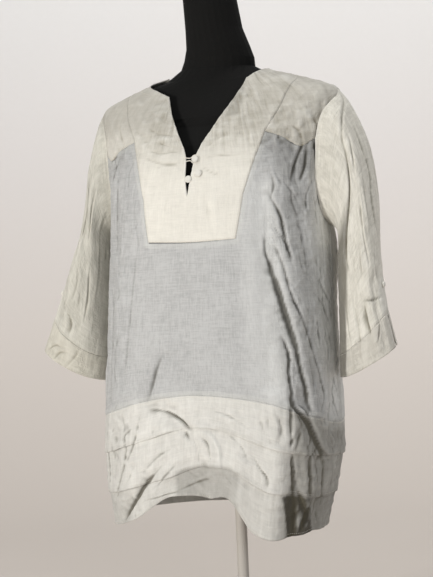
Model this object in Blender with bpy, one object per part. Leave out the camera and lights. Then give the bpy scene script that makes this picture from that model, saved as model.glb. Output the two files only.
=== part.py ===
"""Sheer linen tunic blouse worn by a limbless dress form on a short stand.

Metres. The front faces -Y, the wearer's left is +X, up is +Z, and the base plate stands on z = 0.
Each cut piece of cloth is a thin closed wall of its own. The body's pieces all lie on one surface,
addressed by an arc position round the body (0 at the centre front, growing to the wearer's left)
and a height. Each sleeve is a tube of oval sections that starts on the armhole.
"""

import math

import bmesh
import bpy
import numpy as np
from mathutils import Matrix, Vector

# Cloth and seams
CLOTH = 0.0014
DOUBLE_CLOTH = 0.0018
SEAM_GAP = 0.0003

# Heights of the blouse's seams, before the front gather lifts them
PANEL_BOTTOM = 0.325
HEM_Z = 0.140
TIER_OVERLAP = 0.006
TIER_FLARE = 0.002
TIER_TUCK = 0.0005
TIERS = 3
TIER_HEIGHT = (PANEL_BOTTOM - HEM_Z) / TIERS
UNDERARM_Z = 0.625
CHEST_Z = 0.600
YOKE_Z = 0.754
BACK_YOKE_Z = 0.735
SHOULDER_TIP_Z = 0.831
BIB_TOP_Z = 0.861
NECK_POINT_Z = 0.873

# One unit of arc position is this radius times the angle round the body
ARC_RADIUS = 0.17
SIDE = ARC_RADIUS * math.pi / 2

# Rings of the body: height, half width, depth in front, depth behind,
# squareness in front, squareness behind, y of the ring's middle, x of it
BODY_RINGS = np.array([
    (0.110, 0.164, 0.132, 0.060, 3.0, 2.0, 0.000, -0.014),
    (0.160, 0.171, 0.140, 0.074, 3.1, 2.0, 0.000, -0.011),
    (0.205, 0.179, 0.147, 0.088, 3.2, 2.1, 0.000, -0.008),
    (0.262, 0.187, 0.151, 0.104, 3.2, 2.2, 0.000, -0.003),
    (0.325, 0.187, 0.151, 0.116, 3.2, 2.3, 0.000, 0.000),
    (0.420, 0.184, 0.147, 0.119, 3.0, 2.3, 0.000, 0.000),
    (0.520, 0.181, 0.139, 0.116, 2.8, 2.3, 0.000, 0.000),
    (0.600, 0.179, 0.133, 0.112, 2.6, 2.3, 0.002, 0.000),
    (0.660, 0.179, 0.128, 0.108, 2.5, 2.2, 0.004, 0.000),
    (0.700, 0.182, 0.122, 0.104, 2.4, 2.2, 0.006, 0.000),
    (0.740, 0.188, 0.112, 0.100, 2.3, 2.2, 0.008, 0.000),
    (0.775, 0.195, 0.100, 0.094, 2.2, 2.2, 0.010, 0.000),
    (0.805, 0.201, 0.089, 0.087, 2.1, 2.1, 0.012, 0.000),
    (0.823, 0.203, 0.081, 0.079, 2.0, 2.0, 0.014, 0.000),
    (0.835, 0.194, 0.075, 0.073, 2.0, 2.0, 0.015, 0.000),
    (0.847, 0.166, 0.069, 0.066, 2.0, 2.0, 0.016, 0.000),
    (0.860, 0.127, 0.063, 0.059, 2.0, 2.0, 0.016, 0.000),
    (0.872, 0.088, 0.057, 0.052, 2.0, 2.0, 0.016, 0.000),
    (0.882, 0.062, 0.054, 0.050, 2.0, 2.0, 0.016, 0.000),
])

# Round the body, how far the cloth is pulled up at the front gather:
# arc position, then the lift at the hem and at each tier's top from the lowest
LIFTS = np.array([
    (-0.534, 0.038, 0.034, 0.030, 0.024),
    (-0.420, 0.038, 0.034, 0.030, 0.024),
    (-0.330, 0.034, 0.028, 0.024, 0.018),
    (-0.267, 0.028, 0.020, 0.016, 0.010),
    (-0.200, 0.023, 0.013, 0.012, 0.010),
    (-0.150, 0.027, 0.016, 0.020, 0.020),
    (-0.110, 0.040, 0.026, 0.032, 0.032),
    (-0.080, 0.058, 0.034, 0.041, 0.039),
    (-0.045, 0.076, 0.044, 0.052, 0.044),
    (-0.010, 0.077, 0.055, 0.058, 0.047),
    (0.030, 0.073, 0.062, 0.059, 0.046),
    (0.078, 0.067, 0.052, 0.046, 0.041),
    (0.102, 0.025, 0.034, 0.036, 0.037),
    (0.124, 0.012, 0.022, 0.026, 0.031),
    (0.150, 0.009, 0.017, 0.017, 0.020),
    (0.200, 0.014, 0.006, 0.009, 0.004),
    (0.267, 0.014, 0.004, 0.003, -0.008),
    (0.330, 0.024, 0.016, 0.012, 0.004),
    (0.420, 0.036, 0.032, 0.028, 0.022),
    (0.534, 0.038, 0.034, 0.030, 0.024),
])
LIFT_END_Z = 0.480
SHOULDER_TILT = 0.020

# Seams on the body: arc position, height
BIB_BOTTOM = [(-0.090, 0.606), (0.000, 0.604), (0.088, 0.607)]
BIB_EDGE_LOW = [(0.088, 0.607), (0.096, 0.640), (0.104, 0.674)]
BIB_CORNER = (0.152, 0.768)
BIB_EDGE_MIDDLE = [(0.104, 0.674), (0.125, 0.720), BIB_CORNER]
BIB_EDGE_TOP = [BIB_CORNER, (0.178, 0.799), (0.208, 0.837), (SIDE, BIB_TOP_Z)]
SLIT_BOTTOM = (-0.007, 0.674)
OPENING_LEFT = [SLIT_BOTTOM, (-0.002, 0.700), (0.006, 0.733), (0.053, 0.784), (0.095, 0.815), (0.150, 0.855)]
OPENING_RIGHT = [SLIT_BOTTOM, (-0.013, 0.700), (-0.017, 0.735), (-0.050, 0.775), (-0.080, 0.805), (-0.111, 0.835)]
NECK_LEFT = [(0.150, 0.855), (0.205, 0.868), (SIDE, NECK_POINT_Z)]
NECK_RIGHT = [(-0.111, 0.835), (-0.171, 0.851), (-SIDE, NECK_POINT_Z)]
FRONT_YOKE_SEAM = [BIB_CORNER, (0.176, 0.758), (0.200, 0.743), (0.222, YOKE_Z)]
ARMHOLE_FRONT_LOW = [(SIDE, UNDERARM_Z), (0.247, 0.637), (0.226, 0.680), (0.222, YOKE_Z)]
ARMHOLE_FRONT_TOP = [(0.222, YOKE_Z), (0.232, 0.792), (SIDE, SHOULDER_TIP_Z)]
ARMHOLE_BACK_TOP = [(SIDE, SHOULDER_TIP_Z), (0.303, 0.792), (0.314, BACK_YOKE_Z)]
ARMHOLE_BACK_LOW = [(0.314, BACK_YOKE_Z), (0.308, 0.680), (0.289, 0.637), (SIDE, UNDERARM_Z)]
BACK_NECK = [(SIDE, NECK_POINT_Z), (0.380, 0.870), (2 * SIDE, 0.868), (4 * SIDE - 0.380, 0.870), (3 * SIDE, NECK_POINT_Z)]

# How many faces each seam is cut into
CUTS = {
    "half bib": 5, "bib low": 3, "bib middle": 6, "bib top": 5, "shoulder inner": 2, "shoulder": 12,
    "limb": 12, "arm low": 7, "arm top": 5, "arm back top": 5, "arm back low": 7,
    "side low": 14, "side top": 2, "back": 16,
}

# Folds on the body: arc and height at the start, the same at the end, sideways bow, half width,
# height out of the cloth (troughs are negative)
BODY_FOLDS = np.array([
    (0.137, 0.700, 0.140, 0.560, 0.002, 0.017, -0.0080),
    (0.140, 0.570, 0.168, 0.350, -0.003, 0.018, -0.0110),
    (0.168, 0.350, 0.196, 0.250, 0.000, 0.018, -0.0120),
    (0.110, 0.650, 0.112, 0.430, 0.000, 0.018, 0.0040),
    (0.130, 0.345, 0.132, 0.130, 0.000, 0.018, 0.0080),
    (0.160, 0.250, 0.162, 0.130, 0.000, 0.018, -0.0140),
    (0.184, 0.660, 0.200, 0.520, 0.003, 0.017, -0.0070),
    (0.192, 0.470, 0.214, 0.330, -0.003, 0.017, -0.0080),
    (0.188, 0.752, 0.186, 0.690, 0.000, 0.016, -0.0080),
    (0.212, 0.560, 0.246, 0.440, 0.004, 0.017, -0.0060),
    (0.240, 0.410, 0.222, 0.290, 0.004, 0.017, -0.0070),
    (0.206, 0.250, 0.210, 0.140, 0.000, 0.016, -0.0090),
    (-0.050, 0.420, -0.076, 0.345, 0.000, 0.017, -0.0060),
    (-0.080, 0.322, -0.006, 0.262, 0.006, 0.017, -0.0090),
    (0.014, 0.262, 0.046, 0.196, 0.004, 0.017, 0.0070),
    (0.080, 0.225, 0.080, 0.130, 0.000, 0.017, 0.0090),
    (0.006, 0.185, 0.016, 0.135, 0.000, 0.040, -0.0160),
    (-0.062, 0.222, -0.140, 0.150, 0.004, 0.017, -0.0100),
    (-0.120, 0.330, -0.156, 0.230, 0.003, 0.017, -0.0070),
    (-0.178, 0.730, -0.166, 0.600, 0.000, 0.017, -0.0060),
    (-0.118, 0.600, -0.129, 0.380, 0.003, 0.018, -0.0060),
    (-0.172, 0.560, -0.166, 0.340, 0.002, 0.017, -0.0060),
    (-0.205, 0.400, -0.222, 0.190, 0.000, 0.022, 0.0080),
    (-0.222, 0.690, -0.230, 0.470, 0.003, 0.017, -0.0060),
    (0.330, 0.640, 0.322, 0.380, 0.004, 0.019, -0.0070),
    (0.372, 0.560, 0.385, 0.240, -0.004, 0.020, -0.0090),
    (0.415, 0.715, 0.425, 0.470, 0.003, 0.020, -0.0070),
    (0.442, 0.420, 0.430, 0.150, 0.003, 0.020, -0.0090),
    (0.496, 0.725, 0.500, 0.500, 0.000, 0.018, -0.0080),
    (0.524, 0.460, 0.535, 0.170, 0.004, 0.021, -0.0090),
    (0.572, 0.725, 0.564, 0.520, 0.000, 0.018, -0.0080),
    (0.625, 0.640, 0.612, 0.330, -0.004, 0.020, -0.0080),
    (0.665, 0.700, 0.654, 0.560, 0.003, 0.019, -0.0060),
    (0.690, 0.500, 0.700, 0.200, 0.003, 0.020, -0.0090),
    (0.745, 0.600, 0.748, 0.330, -0.003, 0.019, -0.0070),
])

# Sections of each sleeve, down from the shoulder: distance along the sleeve,
# how far out and how high its outer edge is, the same for its inner edge,
# y of the middle, half depth, how far the rear leans outward
SLEEVE_SECTIONS = {
    "left": np.array([
        (0.000, 0.206, 0.830, 0.180, 0.624, 0.012, 0.050, 0.000),
        (0.030, 0.223, 0.808, 0.188, 0.621, 0.011, 0.058, 0.000),
        (0.070, 0.240, 0.768, 0.197, 0.609, 0.009, 0.062, -0.002),
        (0.120, 0.253, 0.716, 0.197, 0.582, 0.005, 0.063, -0.005),
        (0.180, 0.262, 0.658, 0.195, 0.542, -0.003, 0.062, -0.009),
        (0.250, 0.267, 0.590, 0.196, 0.490, -0.014, 0.060, -0.014),
        (0.310, 0.272, 0.530, 0.198, 0.448, -0.024, 0.058, -0.019),
        (0.350, 0.279, 0.490, 0.199, 0.423, -0.030, 0.057, -0.022),
        (0.405, 0.2912, 0.438, 0.201, 0.388, -0.036, 0.056, -0.025),
    ]),
    "right": np.array([
        (0.000, 0.206, 0.826, 0.180, 0.624, 0.012, 0.050, 0.000),
        (0.030, 0.213, 0.800, 0.188, 0.621, 0.011, 0.060, 0.000),
        (0.070, 0.214, 0.764, 0.191, 0.609, 0.009, 0.062, -0.002),
        (0.120, 0.215, 0.716, 0.189, 0.582, 0.005, 0.064, -0.004),
        (0.180, 0.224, 0.658, 0.188, 0.542, 0.000, 0.064, -0.006),
        (0.250, 0.243, 0.592, 0.188, 0.492, -0.010, 0.064, -0.008),
        (0.310, 0.262, 0.534, 0.188, 0.450, -0.019, 0.060, -0.010),
        (0.350, 0.275, 0.497, 0.189, 0.425, -0.024, 0.058, -0.012),
        (0.405, 0.293, 0.448, 0.191, 0.388, -0.030, 0.056, -0.014),
    ]),
}
CUFF_TOP = 0.350
CUFF_BOTTOM = 0.405
SLIT_TOP = 0.336
SLIT_ANGLE = math.radians(-28)
SLIT_OPENING = math.radians(9)
ARMHOLE_BLEND = 0.110
SLEEVE_ROWS = 14
SLIT_ROWS = 1
CUFF_ROWS = 3
FACING_COLUMNS = 2
FACING_ROWS = 2

# Folds on a sleeve: arc and distance down at the start, the same at the end, bow, half width, height
SLEEVE_FOLDS = np.array([
    (-0.062, 0.040, -0.078, 0.180, 0.004, 0.016, -0.0070),
    (-0.026, 0.060, -0.036, 0.210, -0.003, 0.016, -0.0060),
    (-0.100, 0.210, -0.090, 0.340, 0.003, 0.016, -0.0050),
    (0.012, 0.110, -0.006, 0.260, 0.003, 0.016, -0.0060),
    (0.056, 0.080, 0.064, 0.240, 0.004, 0.016, -0.0060),
    (0.105, 0.150, 0.098, 0.330, 0.000, 0.016, -0.0050),
    (0.040, 0.260, 0.048, 0.345, 0.000, 0.015, -0.0050),
    (-0.056, 0.290, -0.062, 0.395, 0.000, 0.015, -0.0060),
])
SLEEVE_RADIUS = 0.055
SLEEVE_FULLNESS = 0.8

# Buttons
BUTTON_DIAMETER = 0.0115
BUTTON_THICKNESS = 0.0042
CUFF_BUTTON_DIAMETER = 0.009
NECK_BUTTONS = {"button_top": (0.007, 0.7315), "button_side": (0.0165, 0.7090), "button_low": (-0.006, 0.7010)}

# The cloth loop from the slit's right edge round the top button: where its ends are sewn, the cord's
# thickness, and how far round the button it goes on each side of the side facing the edge
LOOP_ENDS = [(-0.0215, 0.7350), (-0.0215, 0.7285)]
LOOP_THICKNESS = 0.0016
LOOP_START = math.radians(28)
LOOP_POINTS = 12
LOOP_SIDES = 8

# Dress form rings: height, half width, depth in front, depth behind, y of the middle
FORM_RINGS = np.array([
    (0.266, 0.144, 0.094, 0.070, 0.000),
    (0.269, 0.150, 0.100, 0.076, 0.000),
    (0.300, 0.158, 0.108, 0.084, 0.000),
    (0.340, 0.157, 0.108, 0.088, 0.000),
    (0.400, 0.142, 0.100, 0.084, 0.000),
    (0.470, 0.132, 0.094, 0.076, 0.000),
    (0.540, 0.138, 0.100, 0.080, 0.000),
    (0.610, 0.152, 0.113, 0.088, 0.000),
    (0.660, 0.158, 0.112, 0.090, 0.003),
    (0.710, 0.162, 0.104, 0.088, 0.006),
    (0.755, 0.170, 0.092, 0.084, 0.010),
    (0.785, 0.180, 0.080, 0.077, 0.013),
])
# Above the chest the form follows the cloth's surface from inside: height, clearance in front and behind
FORM_TOP = np.array([
    (0.806, 0.012),
    (0.820, 0.010),
    (0.831, 0.009),
    (0.842, 0.008),
    (0.853, 0.007),
    (0.862, 0.006),
    (0.870, 0.005),
])
SHOULDER_CLEARANCE = 0.0007
# Neck rings: height, half width, depth in front, depth behind, y of the middle, x of it
NECK_RINGS = np.array([
    (0.881, 0.062, 0.047, 0.042, 0.014, 0.001),
    (0.895, 0.058, 0.046, 0.045, 0.010, 0.005),
    (0.913, 0.052, 0.046, 0.048, 0.005, 0.006),
    (0.942, 0.046, 0.044, 0.046, -0.002, 0.003),
    (0.985, 0.043, 0.043, 0.045, -0.009, 0.001),
    (1.012, 0.043, 0.043, 0.045, -0.013, 0.000),
    (1.017, 0.040, 0.040, 0.042, -0.013, 0.000),
])
FORM_SIDES = 28

# Stand
BASE_RADIUS = 0.140
BASE_THICKNESS = 0.010
POLE_RADIUS = 0.009
POLE_X = 0.018
POLE_Y = -0.0148
# How far the whole is moved along x and y, so that the box's middle is over the origin
PLACE = (-0.0019, 0.017)
SOCKET_RADIUS = 0.024
SOCKET_HEIGHT = 0.022


def through(keys, values, at):
    """A smooth curve through a table's values."""
    slopes = np.gradient(values, keys)
    i = np.clip(np.searchsorted(keys, at) - 1, 0, len(keys) - 2)
    span = keys[i + 1] - keys[i]
    t = np.clip((at - keys[i]) / span, 0, 1)
    start = values[i] * (1 + 2 * t) * (1 - t) ** 2 + slopes[i] * span * t * (1 - t) ** 2
    end = values[i + 1] * t * t * (3 - 2 * t) + slopes[i + 1] * span * t * t * (t - 1)
    return start + end


def relief(folds, across, along):
    """How far the folds stand out of the cloth, each with a soft shoulder on its two sides."""
    out = np.zeros(np.broadcast(across, along).shape)
    for a0, b0, a1, b1, bow, width, height in folds:
        length = math.hypot(a1 - a0, b1 - b0)
        ea, eb = (a1 - a0) / length, (b1 - b0) / length
        run = (across - a0) * ea + (along - b0) * eb
        t = np.clip(run / length, 0, 1)
        off = (across - a0) * -eb + (along - b0) * ea - bow * 4 * t * (1 - t)
        past = run - t * length
        near = (off**2 + past**2) / width**2
        taper = 0.35 + 0.65 * np.sin(math.pi * np.clip(0.5 * t + 0.25, 0, 1))
        out = out + height * taper * (1 - 0.6 * near) * np.exp(-near)
    return out


def unit(vectors):
    return vectors / np.linalg.norm(vectors, axis=-1, keepdims=True)


def wrapped(arc):
    """The arc position brought to within half a turn of the centre front."""
    whole = 4 * SIDE
    return (arc + whole / 2) % whole - whole / 2


def lift_at(arc, z):
    """How far the front gather pulls the cloth up. It fades out above the tiers."""
    place = wrapped(arc)
    levels = [through(LIFTS[:, 0], LIFTS[:, k], place) for k in range(1, LIFTS.shape[1])]
    step = np.clip((z - HEM_Z) / TIER_HEIGHT, -0.5, TIERS)
    lift = levels[0] + 0 * step
    for k in range(TIERS):
        lift = lift + (levels[k + 1] - levels[k]) * np.clip(step - k, 0, 1)
    fade = np.clip((LIFT_END_Z - z) / (LIFT_END_Z - PANEL_BOTTOM), 0, 1)
    return lift * fade**1.5


def body_smooth(arc, z):
    """A point of the body before its folds."""
    angle = arc / ARC_RADIUS
    c, s = np.cos(angle), np.sin(angle)
    lift = lift_at(arc, z)
    half, front, back, square_front, square_back, middle, aside = (
        through(BODY_RINGS[:, 0], BODY_RINGS[:, k], z + 0.3 * lift) for k in range(1, 8)
    )
    depth = np.where(c > 0, front, back)
    n = np.where(c > 0, square_front, square_back)
    r = ((np.abs(c) / depth) ** n + (np.abs(s) / half) ** n) ** (-1 / n)
    x = aside + r * s
    tilt = SHOULDER_TILT * x * np.clip((z - UNDERARM_Z) / (SHOULDER_TIP_Z - UNDERARM_Z), 0, 1)
    return np.stack([x, middle - r * c, z + lift + tilt], -1)


def normals(surface, a, b, step=0.0015):
    """Outward unit normals of a surface of two variables."""
    across = surface(a + step, b) - surface(a - step, b)
    along = surface(a, b + step) - surface(a, b - step)
    return unit(np.cross(across, along))


def body_folded(arc, z):
    """A point of the body with its folds. Behind, the arc position of a fold runs past the side seam."""
    ahead = np.where(wrapped(arc) < -SIDE * 1.02, wrapped(arc) + 4 * SIDE, wrapped(arc))
    height = relief(BODY_FOLDS, ahead, z)
    return body_smooth(arc, z) + normals(body_smooth, arc, z) * height[..., None]


def seam_normals(arc, z):
    """Outward normals of the body, turned down near the underarm, where the sleeve leaves it."""
    out = normals(body_folded, arc, z)
    beside = np.abs(np.abs(wrapped(arc)) - SIDE) < 0.05
    low = np.clip((0.72 - z) / 0.07, 0, 1) * np.clip((z - UNDERARM_Z + 0.004) / 0.002, 0, 1)
    out[..., 2] -= 0.9 * low * beside
    return unit(out)


def seam(rows, count):
    """Evenly spaced points along the smooth curve through a seam's rows."""
    rows = np.array(rows)
    run = np.concatenate([[0], np.cumsum(np.hypot(*np.diff(rows, axis=0).T))])
    fine = np.linspace(0, run[-1], 300)
    curve = np.stack([through(run, rows[:, 0], fine), through(run, rows[:, 1], fine)], -1)
    length = np.concatenate([[0], np.cumsum(np.hypot(*np.diff(curve, axis=0).T))])
    at = np.linspace(0, length[-1], count + 1)
    return np.stack([np.interp(at, length, curve[:, 0]), np.interp(at, length, curve[:, 1])], -1)


def joined(*seams):
    """Seams end to end as one edge."""
    return np.concatenate([seams[0]] + [part[1:] for part in seams[1:]])


def mirrored(points):
    """The same seam on the wearer's right."""
    return points * (-1, 1)


def turned(points):
    """The same seam of the wearer's right, reached round the back."""
    return np.stack([4 * SIDE - points[:, 0], points[:, 1]], -1)


def spread(bottom, top, left, right):
    """A grid of points between four edges that share their corners."""
    u = np.linspace(0, 1, len(bottom))[:, None, None]
    v = np.linspace(0, 1, len(left))[None, :, None]
    across = (1 - v) * bottom[:, None] + v * top[:, None]
    along = (1 - u) * left[None] + u * right[None]
    low = (1 - u) * bottom[0] + u * bottom[-1]
    high = (1 - u) * top[0] + u * top[-1]
    return across + along - (1 - v) * low - v * high


def material(name, color, roughness, sheen=0.0):
    made = bpy.data.materials.new(name)
    made.use_nodes = True
    shader = made.node_tree.nodes["Principled BSDF"]
    shader.inputs["Base Color"].default_value = (*color, 1)
    shader.inputs["Roughness"].default_value = roughness
    shader.inputs["Sheen Weight"].default_value = sheen
    return made


def add_object(name, mesh, finish):
    mesh.materials.append(finish)
    made = bpy.data.objects.new(name, mesh)
    bpy.context.scene.collection.objects.link(made)
    return made


def quads(shape, first):
    """The faces of a grid of points, counted from first."""
    rows, columns = shape
    return [
        (first + i * columns + j, first + (i + 1) * columns + j,
         first + (i + 1) * columns + j + 1, first + i * columns + j + 1)
        for i in range(rows - 1) for j in range(columns - 1)
    ]


def welded(grids):
    """One list of points and faces from grids that share edge points exactly."""
    points, faces = [], []
    for grid in grids:
        faces += quads(grid.shape[:2], sum(len(part) for part in points))
        points.append(grid.reshape(-1, grid.shape[-1]))
    points = np.concatenate(points)
    _, first, index = np.unique(np.round(points / 1e-6), axis=0, return_index=True, return_inverse=True)
    index = index.reshape(-1)
    return points[first], [tuple(index[k] for k in face) for face in faces]


def split(points, faces):
    """Triangles from quads, each cut along its shorter diagonal."""
    made = []
    for a, b, c, d in faces:
        if np.linalg.norm(points[a] - points[c]) <= np.linalg.norm(points[b] - points[d]):
            made += [(a, b, c), (a, c, d)]
        else:
            made += [(a, b, d), (b, c, d)]
    return made


def rim_of(faces):
    """The edges that only one face uses, in that face's direction."""
    sides = {}
    for face in faces:
        for a, b in zip(face, face[1:] + face[:1]):
            sides[(a, b)] = face
    return {edge: face for edge, face in sides.items() if edge[::-1] not in sides}


def drawn_in(points, faces, distance):
    """The points with the rim moved into the piece by a distance, along the surface."""
    inward = {}
    for (a, b), face in rim_of(faces).items():
        along = unit(points[b] - points[a])
        middle = points[list(face)].mean(axis=0)
        toward = middle - points[a]
        toward = unit(toward - along * (toward @ along))
        inward.setdefault(a, []).append(toward)
        inward.setdefault(b, []).append(toward)
    moved = points.copy()
    for k, (first, second) in inward.items():
        moved[k] = points[k] + (first + second) * distance / max(1 + first @ second, 0.4)
    return moved


def wall(name, points, out, faces, thickness, finish, offset=0.0):
    """A closed wall of cloth: its outer face lies offset outside the points."""
    points = drawn_in(points, faces, SEAM_GAP / 2 + 0.00002)
    outer = points + out * np.asarray(offset).reshape(-1, 1)
    inner = outer - out * thickness
    count = len(points)
    rim = [(b, a, count + a, count + b) for a, b in rim_of(faces)]
    faces = split(points, faces)
    back = [tuple(count + k for k in reversed(face)) for face in faces]
    mesh = bpy.data.meshes.new(name)
    mesh.from_pydata(np.concatenate([outer, inner]).tolist(), [], faces + back + rim)
    mesh.shade_smooth()
    mesh.set_sharp_from_angle(angle=math.radians(50))
    return add_object(name, mesh, finish)


def body_wall(name, grids, thickness, finish, offset=0.0):
    """A wall on the body from grids of arc positions and heights."""
    places, faces = welded(grids)
    arc, z = places[:, 0], places[:, 1]
    return wall(name, body_folded(arc, z), seam_normals(arc, z), faces, thickness, finish, offset)


def body_seams():
    """The seams of the wearer's left half, cut into points."""
    made = {
        "bib low": seam(BIB_EDGE_LOW, CUTS["bib low"]),
        "bib middle": seam(BIB_EDGE_MIDDLE, CUTS["bib middle"]),
        "bib top": seam(BIB_EDGE_TOP, CUTS["bib top"]),
        "bib bottom": seam(BIB_BOTTOM, 2 * CUTS["half bib"]),
        "limb": seam([BIB_BOTTOM[-1], (SIDE, CHEST_Z)], CUTS["limb"]),
        "yoke": seam(FRONT_YOKE_SEAM, CUTS["limb"]),
        "arm low": seam(ARMHOLE_FRONT_LOW, CUTS["arm low"]),
        "arm top": seam(ARMHOLE_FRONT_TOP, CUTS["arm top"]),
        "arm back top": seam(ARMHOLE_BACK_TOP, CUTS["arm back top"]),
        "arm back low": seam(ARMHOLE_BACK_LOW, CUTS["arm back low"]),
        "shoulder": seam([(SIDE, SHOULDER_TIP_Z), (SIDE, BIB_TOP_Z)], CUTS["shoulder"]),
        "shoulder inner": seam([(SIDE, BIB_TOP_Z), (SIDE, NECK_POINT_Z)], CUTS["shoulder inner"]),
        "side low": seam([(SIDE, PANEL_BOTTOM), (SIDE, CHEST_Z)], CUTS["side low"]),
        "side top": seam([(SIDE, CHEST_Z), (SIDE, UNDERARM_Z)], CUTS["side top"]),
    }
    return made


def make_bib(seams, finish):
    """The double front bib, slit at the centre, with its upper edges fallen open."""
    low = seams["bib low"]
    outer = joined(seams["bib middle"], seams["bib top"], seams["shoulder inner"])
    halves = []
    for side, opening, neck in ((1, OPENING_LEFT, NECK_LEFT), (-1, OPENING_RIGHT, NECK_RIGHT)):
        edge = outer * (side, 1)
        inner = seam(opening, len(outer) - 1)
        bottom = np.linspace(inner[0], edge[0], CUTS["half bib"] + 1)
        top = seam(neck, CUTS["half bib"])
        if side > 0:
            halves.append(spread(bottom, top, inner, edge))
        else:
            halves.append(spread(bottom[::-1], top[::-1], edge, inner))
    level = joined(halves[1][:, 0], halves[0][:, 0])
    base = spread(seams["bib bottom"], level, mirrored(low), low)
    body_wall("bib", [base] + halves, DOUBLE_CLOTH, finish)


def make_front(seams, finish):
    """The front panel: one field below the bib and a limb up each side of it."""
    limb = seams["limb"]
    top = joined(mirrored(limb)[::-1], seams["bib bottom"], limb)
    side = seams["side low"]
    field = spread(level_edge(-SIDE, SIDE, len(top), PANEL_BOTTOM), top, mirrored(side), side)
    inner = joined(seams["bib low"], seams["bib middle"])
    outer = joined(seams["side top"], seams["arm low"])
    yoke = seams["yoke"]
    left = spread(limb, yoke, inner, outer)
    right = spread(mirrored(limb)[::-1], mirrored(yoke)[::-1], mirrored(outer), mirrored(inner))
    body_wall("front_panel", [field, left, right], CLOTH, finish)


def make_front_yokes(seams, finish):
    """The pieces between the bib, the shoulder seam, the armhole and the gathered front."""
    yoke, shoulder = seams["yoke"], seams["shoulder"][::-1]
    inner, outer = seams["bib top"], seams["arm top"]
    left = spread(yoke, shoulder, inner, outer)
    right = spread(mirrored(yoke)[::-1], mirrored(shoulder)[::-1], mirrored(outer), mirrored(inner))
    body_wall("front_yoke_left", [left], CLOTH, finish)
    body_wall("front_yoke_right", [right], CLOTH, finish)


def make_back(seams, yoke_finish, finish):
    """The back yoke over both shoulders, and the back panel below it."""
    arm_top, arm_low = seams["arm back top"], seams["arm back low"]
    columns = CUTS["back"] + 1
    left = joined(arm_top[::-1], seams["shoulder"], seams["shoulder inner"])
    yoke_bottom = level_edge(arm_low[0, 0], 4 * SIDE - arm_low[0, 0], columns, BACK_YOKE_Z)
    neck = seam(BACK_NECK, CUTS["back"])
    body_wall("back_yoke", [spread(yoke_bottom, neck, left, turned(left))], CLOTH, yoke_finish)
    chest = level_edge(SIDE, 3 * SIDE, columns, CHEST_Z)
    bottom = level_edge(SIDE, 3 * SIDE, columns, PANEL_BOTTOM)
    side = seams["side low"]
    upper = joined(seams["side top"], arm_low[::-1])
    field = spread(bottom, chest, side, turned(side))
    top = spread(chest, yoke_bottom, upper, turned(upper))
    body_wall("back_panel", [field, top], CLOTH, finish)


def level_edge(start, end, count, z):
    return np.stack([np.linspace(start, end, count), np.full(count, z)], -1)


def make_tiers(finish):
    """Three hem bands. Each hangs from just inside the lower edge of the one above it."""
    front = 2 * (CUTS["half bib"] + CUTS["limb"]) + 1
    sides = (("front", -SIDE, SIDE, front), ("back", SIDE, 3 * SIDE, CUTS["back"] + 1))
    for tier in range(TIERS):
        top = PANEL_BOTTOM - tier * TIER_HEIGHT
        low = top - TIER_HEIGHT
        rows = [(low, TIER_FLARE), (low + TIER_OVERLAP, 0.75 * TIER_FLARE), ((low + top) / 2, 0.2 * TIER_FLARE)]
        rows += [(top, -TIER_TUCK), (top + TIER_OVERLAP, -TIER_TUCK - TIER_FLARE / 8)] if tier else [(top, 0)]
        for name, start, end, count in sides:
            places = np.stack([level_edge(start, end, count, z) for z, _ in rows], 1).reshape(-1, 2)
            offset = np.tile([out for _, out in rows], count)
            arc, z = places[:, 0], places[:, 1]
            points, out = body_folded(arc, z), normals(body_folded, arc, z)
            faces = quads((count, len(rows)), 0)
            wall(f"tier_{tier + 1}_{name}", points, out, faces, DOUBLE_CLOTH, finish, offset)


def armhole(seams):
    """The armhole as one closed loop from the underarm up the front and down the back."""
    return joined(seams["arm low"], seams["arm top"], seams["arm back top"], seams["arm back low"])


def sleeve_oval(side, angle, along):
    """A point of a sleeve before its folds. Angle 0 is the outer edge, growing to the rear."""
    table = SLEEVE_SECTIONS[side]
    ox, oz, ix, iz, y, depth, lean = (through(table[:, 0], table[:, k], along) for k in range(1, 8))
    c, s = np.cos(angle), np.sin(angle)
    c = np.sign(c) * np.abs(c) ** SLEEVE_FULLNESS
    x = (ox + ix) / 2 + c * (ox - ix) / 2 + s * lean
    z = (oz + iz) / 2 + c * (oz - iz) / 2
    return np.stack([x, y + s * depth, z], -1)


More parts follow.
